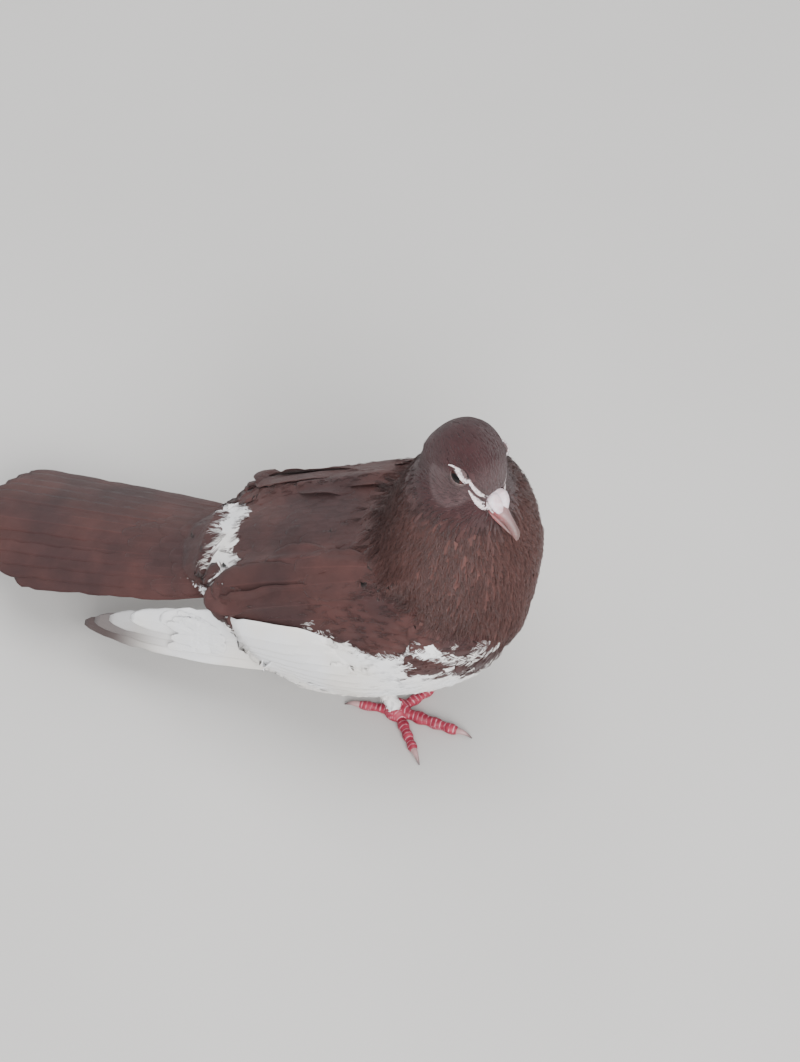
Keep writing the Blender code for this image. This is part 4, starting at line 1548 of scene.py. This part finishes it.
def makeVentCoverts(drape):
    feathers, plan, half = FeatherSet("vent_coverts", 351), ventCoverts, ventCoverts["half"]
    for row, (rootX, long, count) in enumerate(plan["rows"]):
        for k in range(count):
            across = (k - (count - 1) / 2) / count * 2
            root = (rootX, plan["out"] * across, plan["rootUp"])
            tip = (rootX - long * (1 - 0.25 * abs(across)), plan["out"] * across, plan["tipUp"])
            surface = drape.between(root, tip, Vector((0, 0, -1)), plan["lift"] + plan["step"] * row)
            feathers.add(surface, half, half, white=whiteMark, blunt=0.7, wear=1.0, base=0.5, shaft=0.5)
    return feathers.finish("plumage_white")


drape = Drape(bodyTree)
tailPiece = makeTail()
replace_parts(tailPiece, "tail")
for side in sides:
    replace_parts(makePrimaries(side), f"wing_tip_{side}")
    makeWingFeathers(side, drape)
    makeScapulars(side, drape)
    makeFlankFluff(side, drape)
makeTailCoverts(drape)
makeVentCoverts(drape)
print("flight feathers done")


def circle(count):
    # cosine and sine of evenly spaced angles
    return [(math.cos(a), math.sin(a)) for a in np.linspace(0, 2 * math.pi, count, endpoint=False)]


def loftMesh(name, rings, marks, hoop=False):
    # rings in millimetres from home: a tube closed at both ends, or a hoop whose last ring meets its first
    count = len(rings[0])
    steps = len(rings) if hoop else len(rings) - 1
    faces = []
    for i in range(steps):
        this, following = i * count, (i + 1) % len(rings) * count
        for j in range(count):
            k = (j + 1) % count
            faces.append((this + j, this + k, following + k, following + j))
    if not hoop:
        faces.append(tuple(range(count))[::-1])
        faces.append(tuple(steps * count + j for j in range(count)))
    return solidMesh(name, [home + Vector(at) * mm for ring in rings for at in ring], faces, marks)


# The slit between the lids, in degrees on the eyeball: middle, half length, half height; then its outer rim.
# The lids' heights over the eyeball are in millimetres.
lids = {
    "middle": (2, 14), "long": 60, "high": 17, "rim": 80, "segments": 72, "steps": 24,
    "thick": 0.26, "ridge": 0.3, "fold": 0.09, "folds": 34, "sink": 0.3, "grain": 0.05,
}


def eyePoint(side, forward, up, radius):
    # a direction from the eye's centre in degrees, as a place
    hand = sides[side]
    turn = math.radians(math.hypot(forward, up))
    share = math.sin(turn) / max(math.hypot(forward, up), 1e-6)
    return Vector(toBird(inHead(
        eyes["forward"] + radius * forward * share,
        hand * (eyes["out"] + radius * math.cos(turn)),
        eyes["up"] + radius * up * share,
    )))


def makeEyeball(side):
    rings, iris = [], []
    for i in range(eyes["rings"]):
        angle = 1 + eyes["reach"] * i / (eyes["rings"] - 1)
        turns = [(angle * c, angle * s) for c, s in circle(eyes["around"])]
        rings.append([eyePoint(side, *turn, eyes["radius"]) for turn in turns])
        iris += [angle] * len(turns)
    ball = linkObject(f"eyeball_{side}", loftMesh(f"eyeball_{side}", rings, {"iris": iris}))
    return dress(ball, finishes["eye"], "eye_gloss", f"eye_{side}")


def makeLids(side):
    rng = np.random.default_rng(5)
    rings, powder = [], []
    profile = [(0.0, -0.10), (0.0, 0.08), (0.02, 0.2), (0.06, lids["thick"])]
    profile += [(0.06 + 0.94 * k / lids["steps"], None) for k in range(1, lids["steps"] + 1)]
    profile += [(1.0, -0.9), (0.5, -0.35), (0.15, -0.2)]
    for j in range(lids["segments"]):
        a = 2 * math.pi * j / lids["segments"]
        c, s = math.cos(a), math.sin(a)
        upper = float(ease(-0.1, 0.25, s))
        edge = (lids["middle"][0] + lids["long"] * c, lids["middle"][1] + lids["high"] * s * abs(s) ** 0.4)
        rim = (lids["rim"] * c, lids["rim"] * s)
        grain = rng.uniform(-1, 1)
        ring = []
        for share, high in profile:
            at = [e + (r - e) * share for e, r in zip(edge, rim)]
            ridge = upper * lids["ridge"] * math.exp(-(((share - 0.2) / 0.1) ** 2))
            wave = math.sin(share * lids["folds"] + 0.6 * c)
            fold = lids["fold"] * wave * (1 - upper) * float(ease(0.05, 0.2, share))
            rise = lids["thick"] + ridge + fold - lids["sink"] * share**2 if high is None else high + ridge
            rise += lids["grain"] * grain * float(ease(0.02, 0.1, share))
            ring.append(eyePoint(side, at[0], at[1], eyes["radius"] + rise))
            band = 0.12 * float(ease(0.07, 0.13, share)) * (1 - float(ease(0.5, 0.7, share + 0.03 * grain)))
            folds = float(ease(0.7, 1.0, wave)) * (1 - float(ease(0.3, 0.5, share)))
            low = 0.15 * (1 - float(ease(0.02, 0.05, share))) + 0.25 * folds
            powder.append(upper * band + (1 - upper) * low)
        rings.append(ring)
    piece = linkObject(f"lids_{side}", loftMesh(f"lids_{side}", rings, {"powder": powder}, hoop=True))
    return dress(piece, finishes["lids"], "cere_powder")


# Steps along and round each white ridge, and how uneven its edge, its height and its powder are.
ridge = {"steps": 80, "around": 14, "edge": 0.12, "rough": 0.05, "powder": 0.2, "sunk": 0.2}


def makeRidge(name, side, tree):
    hand, last, plan = sides[side], ridge["steps"] - 1, ridges[name]
    away = headTurn @ Vector((0, hand, 0))
    rng = np.random.default_rng(7)
    rings, powder, hit = [], [], None
    for i in range(last + 1):
        t = i / last
        at = curveThrough(plan["path"], t)
        ahead = curveThrough(plan["path"], min(t + 0.02, 1)) - curveThrough(plan["path"], max(t - 0.02, 0))
        across = np.array((-ahead[1], ahead[0])) / np.linalg.norm(ahead)
        half = np.interp(t, np.linspace(0, 1, len(plan["half"])), plan["half"])
        half = half * rng.uniform(1 - ridge["edge"], 1 + ridge["edge"])
        ring = []
        for c, s in circle(ridge["around"]):
            spot = at + across * half * c
            hit = tree.ray_cast(inHead(spot[0], hand * 30, spot[1]), -away, 40 * mm)[0] or hit
            rise = plan["high"] * min(1, 6 * t, 5 * (1 - t)) * s + ridge["rough"] * rng.uniform(-1, 1)
            ring.append(Vector(toBird(hit)) + away * (rise if s > 0 else 0.3 * s - ridge["sunk"]))
            powder.append(0.75 - 0.35 * abs(c) ** 3 + ridge["powder"] * rng.uniform(-1, 1))
        rings.append(ring)
    piece = linkObject(f"{name}_{side}", loftMesh(f"{name}_{side}", rings, {"powder": powder}))
    return dress(piece, finishes["lids"], "cere_powder")


# Stations of the bill, counted from its root and its gape line: forward, up, half height, half width.
bill = {
    "root": 13.0, "line": -4.5, "flat": 0.6, "around": 36,
    "upper": (
        (0, 1.6, 3, 5), (5, 1.8, 3, 4.8), (10, 1.4, 2.6, 3.5), (15.5, 0.9, 2.2, 2.2), (20.5, -0.1, 1.7, 1.8),
        (22.5, -1.6, 0.6, 0.6),
    ),
    "lower": (
        (0, -1.9, 1.9, 4.5), (5, -1.8, 1.8, 4.2), (11, -1.6, 1.5, 3.0), (18.5, -1.6, 0.9, 1.3),
        (19.7, -1.8, 0.4, 0.5),
    ),
    "cere": (
        (1, 4.4, 1.8, 3.6), (4, 4.7, 2.8, 5.5), (7.2, 4, 2.5, 5.2), (9.4, 3, 1.6, 3.7), (10.4, 2.7, 0.9, 2.2),
    ),
}
nostril = {"forward": 8.6, "up": 1.5, "long": 2.1, "high": 0.42}


def billRings(part, count, shape):
    rings, marks = [], {"tip": [], "ridge": [], "hole": []}
    for i in range(count):
        forward, lift, tall, wide = curveThrough(bill[part], i / (count - 1))
        ring = []
        for c, s in circle(bill["around"]):
            z = lift + (tall if s > 0 else tall * bill["flat"]) * s
            y, z, hole = shape(forward, wide * c, z, c, s)
            ring.append(toBird(inHead(bill["root"] + forward, y, bill["line"] + z)))
            marks["tip"].append(forward / 22)
            marks["ridge"].append(max(s, 0) ** 2)
            marks["hole"].append(hole)
        rings.append(ring)
    return rings, marks


def upperShape(forward, y, z, c, s):
    # a keeled ridge, tomia that curl in, and a swollen hooked nail at the tip
    keel, curl = 0.25 * max(s, 0) ** 6, 0.35 * float(ease(12, 22, forward)) * (1 - abs(s)) * 0.5
    z += keel * float(ease(4, 12, forward)) - curl
    y *= 1 - 0.07 * math.exp(-(((forward - 13.5) / 2.5) ** 2))
    return y, z, 0.0


def lowerShape(forward, y, z, c, s):
    return y, z + 0.15 * (abs(c) ** 3) * float(ease(2, 8, forward)), 0.0


def cereShape(forward, y, z, c, s):
    # two swollen lobes with a furrow between them, and a slit nostril under the front edge of each
    furrow = math.exp(-((y / 0.75) ** 2)) * max(s, 0)
    z -= 1.15 * furrow * float(ease(1.5, 3.5, forward))
    z += 0.25 * math.exp(-(((abs(y) - 2.6) / 1.3) ** 2)) * max(s, 0)
    away = math.hypot((forward - nostril["forward"]) / nostril["long"], (z - nostril["up"]) / nostril["high"])
    hole = float(1 - ease(0.7, 1.25, away)) * (abs(c) > 0.5)
    crumple = 0.12 * math.sin(forward * 5.2 + 3 * c) * math.sin(7 * c + forward * 1.7)
    return y * (1 - 0.16 * hole) + crumple * c, z + crumple * s, hole


# name: part, stations along it, shape, finish, slot, the solid that it replaces
billPieces = {
    "upper_bill": ("upper", 44, upperShape, "bill", "bill_horn", "bill_upper"),
    "lower_bill": ("lower", 36, lowerShape, "bill", "bill_horn", "bill_lower"),
    "cere_lobes": ("cere", 40, cereShape, "cere", "cere_powder", "cere"),
}


def makeBill():
    for name, (part, count, shape, finish, slot, node) in billPieces.items():
        piece = linkObject(name, loftMesh(name, *billRings(part, count, shape)))
        dress(piece, finishes[finish], slot, node)


def makeEyeMaterial():
    shader = newMaterial("wetEye", 0.12, specular=0.25)
    angle = shader.attribute("iris")
    streak = shader.noise(shader.place(), 1500, 2)
    iris = shader.mix(shader.ease(streak, 0.3, 0.7), colours["iris"], colours["irisStreak"])
    ringed = shader.mix(shader.ease(angle, eyes["pupil"] - 2, eyes["pupil"] + 2), colours["pupil"], iris)
    shader.surface["Coat Weight"].default_value = 0.15
    shader.surface["Coat Roughness"].default_value = 0.03
    rim = shader.ease(angle, eyes["iris"] - 4, eyes["iris"] + 3)
    return shader.paint(shader.mix(rim, ringed, colours["eyeRim"]))


def makeLidMaterial():
    shader = newMaterial("powderedLid", 0.7, subsurface=0.1)
    fine = shader.noise(shader.place(), 1400, 3)
    bare = shader.mix(fine, colours["lid"], colours["lidLight"])
    white = shader.mix(fine, colours["powderShade"], colours["powder"])
    uneven = shader.ease(fine, 0.2, 0.8, -0.5, 0.5)
    share = shader.math("MULTIPLY_ADD", uneven, 0.35, shader.attribute("powder"))
    return shader.paint(shader.mix(shader.ease(share, 0.2, 0.8), bare, white), fine, 0.6, 0.00025)


def makeBillMaterial():
    shader = newMaterial("billHorn", 0.38, specular=0.45, subsurface=0.15)
    grain, tip = shader.noise(shader.place(), 700, 3), shader.attribute("tip")
    side = shader.mix(shader.ease(tip, 0.25, 0.75), colours["billSide"], colours["billSideTip"])
    top = shader.mix(shader.ease(tip, 0.45, 0.95), colours["billTop"], colours["billTopTip"])
    colour = shader.mix(shader.ease(shader.attribute("ridge"), 0.15, 0.75), side, top)
    worn = shader.mix(shader.ease(grain, 0.55, 0.85), colour, colours["billWorn"])
    shader.link(shader.ease(grain, 0.2, 0.8, 0.3, 0.55), shader.surface["Roughness"])
    return shader.paint(worn, grain, 0.35)


def makeCereMaterial():
    shader = newMaterial("cerePowder", 0.85, subsurface=0.15)
    fine = shader.noise(shader.place(), 1100, 4)
    broad = shader.noise(shader.place(), 260, 2)
    colour = shader.mix(shader.ease(broad, 0.35, 0.7), colours["cere"], colours["cereShade"])
    return shader.paint(shader.mix(shader.attribute("hole"), colour, colours["nostril"]), fine, 0.7, 0.0003)


# Heading in degrees (positive towards the other foot); in millimetres the length to the claw, the radius and
# the claw's length; and the number of pads.
toes = {
    "middle": (-6.0, 29.0, 2.9, 6.5, 4),
    "inner": (52.0, 19.5, 2.6, 6.0, 3),
    "outer": (-54.0, 22.5, 2.6, 6.5, 4),
    "hind": (186.0, 17.5, 2.4, 6.0, 2),
}
foot = {
    "shift": {"right": 0.0, "left": -5.0}, "apart": 25, "ball": 5.6, "voxel": 0.4, "rounds": 4, "swell": 0.13,
    "steps": 40, "around": 24, "ballAround": 32, "scute": 2.1, "scuteHigh": 0.24, "bead": 0.06,
}
claws = {"steps": 22, "around": 18, "root": 1.6, "tip": 0.6, "arch": 0.75}
# Height and share of the radius of the ball of the foot.
ballRings = ((6.5, 0.6), (5.5, 0.8), (4.2, 0.98), (2.2, 1.06), (0.8, 0.96), (0, 0.75))


def toeRun(side, name):
    heading, length, radius, claw, pads = toes[name]
    angle = math.radians(-sides[side] * heading)
    ahead = Vector((math.cos(angle), math.sin(angle), 0))
    ball = Vector((foot["shift"][side], sides[side] * foot["apart"], 0))
    return ball, ahead, length, radius, claw, pads


def tubeRings(run, around):
    # run is a list of (place, radius); the tube is flattened where it meets the floor
    rings = []
    for i, (at, radius) in enumerate(run):
        along = (run[min(i + 1, len(run) - 1)][0] - run[max(i - 1, 0)][0]).normalized()
        across = along.cross(Vector((0, 0, 1))).normalized()
        up = across.cross(along)
        ring = [at + across * radius * c + up * radius * s for c, s in circle(around)]
        rings.append([(spot.x, spot.y, max(spot.z, 0.0)) for spot in ring])
    return rings


def makeFoot(side):
    parts = []
    for name in toes:
        ball, ahead, length, radius, _, pads = toeRun(side, name)
        run = []
        for i in range(foot["steps"]):
            t = i / (foot["steps"] - 1)
            swell = 1 + foot["swell"] * math.cos(2 * math.pi * (pads * t - 0.5)) * (t > 0.08)
            end = math.sqrt(max(1 - max((t - 0.93) / 0.08, 0) ** 2, 0.05))
            wide = radius * swell * (0.84 + 0.2 * min(t * 3, 1) - 0.3 * t) * end
            run.append((ball + ahead * (length + 0.4) * t + Vector((0, 0, radius * 0.8)), wide))
        parts.append(loftMesh("toe", tubeRings(run, foot["around"]), {}))
    ball, rings = toeRun(side, "middle")[0], []
    for z, share in ballRings:
        wide = foot["ball"] * share
        rings.append([(ball.x + wide * c, ball.y + wide * s, z) for c, s in circle(foot["ballAround"])])
    parts.append(loftMesh("ball", rings, {}))
    piece = linkObject(f"foot_skin_{side}", joinMeshes(f"foot_skin_{side}", parts))
    blendParts(piece, foot["voxel"], foot["rounds"])
    scales(piece.data, side)
    return dress(piece, finishes["foot"], "foot_skin", *[f"toe_{name}_{side}" for name in toes])


def scales(mesh, side):
    # overlapping plates on top of each toe, beaded skin at its sides and pads beneath
    points, normals = toBird(coordinates(mesh)), vertexNormals(mesh)
    x, y, z = points.T
    best = np.full(len(points), 1e9)
    along, lateral, over = np.zeros((3, len(points)))
    for k, name in enumerate(toes):
        ball, ahead, _, radius, _, _ = toeRun(side, name)
        flat = points - np.array(ball) - (0, 0, radius * 0.8)
        run = flat @ np.array(ahead)
        sideways = flat @ np.array((-ahead.y, ahead.x, 0))
        away = np.hypot(sideways, flat[:, 2]) + 50 * (run < 1)
        near = away < best
        best = np.where(near, away, best)
        along = np.where(near, run + 0.37 * k, along)
        lateral = np.where(near, sideways / radius, lateral)
        over = np.where(near, flat[:, 2] / radius, over)
    phase = along / foot["scute"] + 0.12 * np.cos(lateral * 2.5)
    saw = phase - np.floor(phase)
    top = ease(0.05, 0.45, over) * (1 - ease(0.75, 0.95, np.abs(lateral)))
    plate = np.where(saw < 0.16, saw / 0.16, 1 - 0.45 * (saw - 0.16) / 0.84)
    bead = np.cos(x * 5.5) * np.cos(y * 5.5) * np.cos(z * 5)
    rise = foot["scuteHigh"] * (plate - 0.6) * top + foot["bead"] * bead * (1 - top)
    rise = np.where(z < 0.25, np.minimum(rise, 0), rise)
    moved = points + normals * rise[:, None]
    moved[:, 2] = np.where(moved[:, 2] < 0.12, 0.0, moved[:, 2])
    mesh.vertices.foreach_set("co", (moved * mm + homeArray).ravel())
    broken = 0.45 + 0.55 * ease(-0.5, 0.6, hillNoise(points, 2.2, 17))
    seam = top * (1 - ease(0.03, 0.11, np.minimum(saw, 1 - saw))) * broken
    net = ease(0.55, 0.9, np.abs(np.sin(x * 3.1 + 0.8 * z) * np.cos(y * 3.1)))
    writeAttribute(mesh, "seam", seam + 0.5 * (1 - top) * net * broken)
    writeAttribute(mesh, "under", ease(0.1, -0.5, over))
    mesh.update()
    mesh.shade_smooth()


def makeClaws(side):
    parts, steps, around = [], claws["steps"], claws["around"]
    tips = np.repeat(np.linspace(0, 1, steps), around)
    for name in toes:
        ball, ahead, length, radius, claw, _ = toeRun(side, name)
        start = ball + ahead * (length - 0.8) + Vector((0, 0, radius * 0.82))
        run = []
        for i in range(steps):
            t = i / (steps - 1)
            lift = claws["arch"] * math.sin(math.pi * t) - (radius * 0.82 - claws["tip"]) * t * t
            at = start + ahead * (claw + 0.8) * t + Vector((0, 0, lift))
            run.append((at, claws["root"] * (1 - 0.9 * t) ** 0.8))
        parts.append(loftMesh("claw", tubeRings(run, around), {"tip": tips}))
    piece = linkObject(f"claws_{side}", joinMeshes(f"claws_{side}", parts))
    piece.data.shade_smooth()
    return dress(piece, finishes["claw"], "claw_horn", *[f"claw_{name}_{side}" for name in toes])


def makeFootMaterial():
    shader = newMaterial("scalyFoot", 0.5, specular=0.4, subsurface=0.05)
    broad = shader.noise(shader.place(), 240, 3)
    red = shader.mix(shader.ease(broad, 0.3, 0.7), colours["foot"], colours["footLight"])
    red = shader.mix(shader.attribute("under"), red, colours["sole"])
    scaly = shader.mix(shader.attribute("seam"), red, colours["seam"])
    return shader.paint(scaly, shader.noise(shader.place(), 1600, 2), 0.4)


def makeClawMaterial():
    shader = newMaterial("clawHorn", 0.35, specular=0.5)
    grain = shader.noise(shader.place(), 900, 2)
    base = shader.mix(grain, colours["claw"], colours["clawShade"])
    dark = shader.ease(shader.attribute("tip"), 0.35, 1.0)
    return shader.paint(shader.mix(dark, base, colours["clawTip"]), grain, 0.3)


finishes |= {
    "eye": makeEyeMaterial(),
    "lids": makeLidMaterial(),
    "bill": makeBillMaterial(),
    "cere": makeCereMaterial(),
    "foot": makeFootMaterial(),
    "claw": makeClawMaterial(),
}
for side in sides:
    makeEyeball(side)
    faceTree = treeOf(("bill_upper", "bill_lower"), (skin, makeLids(side)))
    for name in ridges:
        makeRidge(name, side, faceTree)
    makeFoot(side)
    makeClaws(side)
makeBill()
print("head details and feet done")


# The camera: its target in millimetres, degrees from square to the side and above the floor, metres away.
view = {"target": (-27.32, 71.89, 0), "from": 16.5, "rise": 53.0, "distance": 1.209, "lens": 88.1}


def makeCamera():
    camera = bpy.data.cameras.new("camera")
    camera.lens = view["lens"]
    camera.sensor_width = 36
    eye = linkObject("camera", camera)
    turn, rise = math.radians(view["from"]), math.radians(view["rise"])
    back = Vector((math.sin(turn) * math.cos(rise), -math.cos(turn) * math.cos(rise), math.sin(rise)))
    eye.location = place(*view["target"]) + back * view["distance"]
    eye.rotation_euler = (-back).to_track_quat("-Z", "Y").to_euler()
    bpy.context.scene.camera = eye


# Place in metres from home, size in metres, power in watts.
lamps = {
    "key": ((0.9, -1.5, 1.35), 1.3, 68),
    "overhead": ((0.1, 0.2, 2.0), 1.6, 30),
    "back": ((-1.0, 1.3, 1.2), 1.0, 7),
}


def makeLights():
    for name, (where, size, power) in lamps.items():
        lamp = bpy.data.lights.new(name, "AREA")
        lamp.size, lamp.energy = size, power
        obj = linkObject(name, lamp)
        obj.location = home + Vector(where)
        obj.rotation_euler = (home - obj.location).to_track_quat("-Z", "Y").to_euler()
    world = bpy.data.worlds.new("studio")
    world.use_nodes = True
    sky = world.node_tree.nodes["Background"].inputs
    sky["Color"].default_value = (0.93, 0.96, 1.0, 1)
    sky["Strength"].default_value = 0.6
    bpy.context.scene.world = world


def makeFloor():
    form = bmesh.new()
    bmesh.ops.create_grid(form, x_segments=8, y_segments=8, size=3.0)
    floor = linkObject("floor", meshOf(form, "floor"))
    floor.data.transform(Matrix.Translation((home.x, home.y, -0.0002)))
    shader = newMaterial("paleFloor", 0.55)
    cloud = shader.mix(shader.noise(shader.place(), 6, 3), colours["floor"], colours["floorLight"])
    floor.data.materials.append(shader.paint(cloud))


makeCamera()
makeLights()
makeFloor()
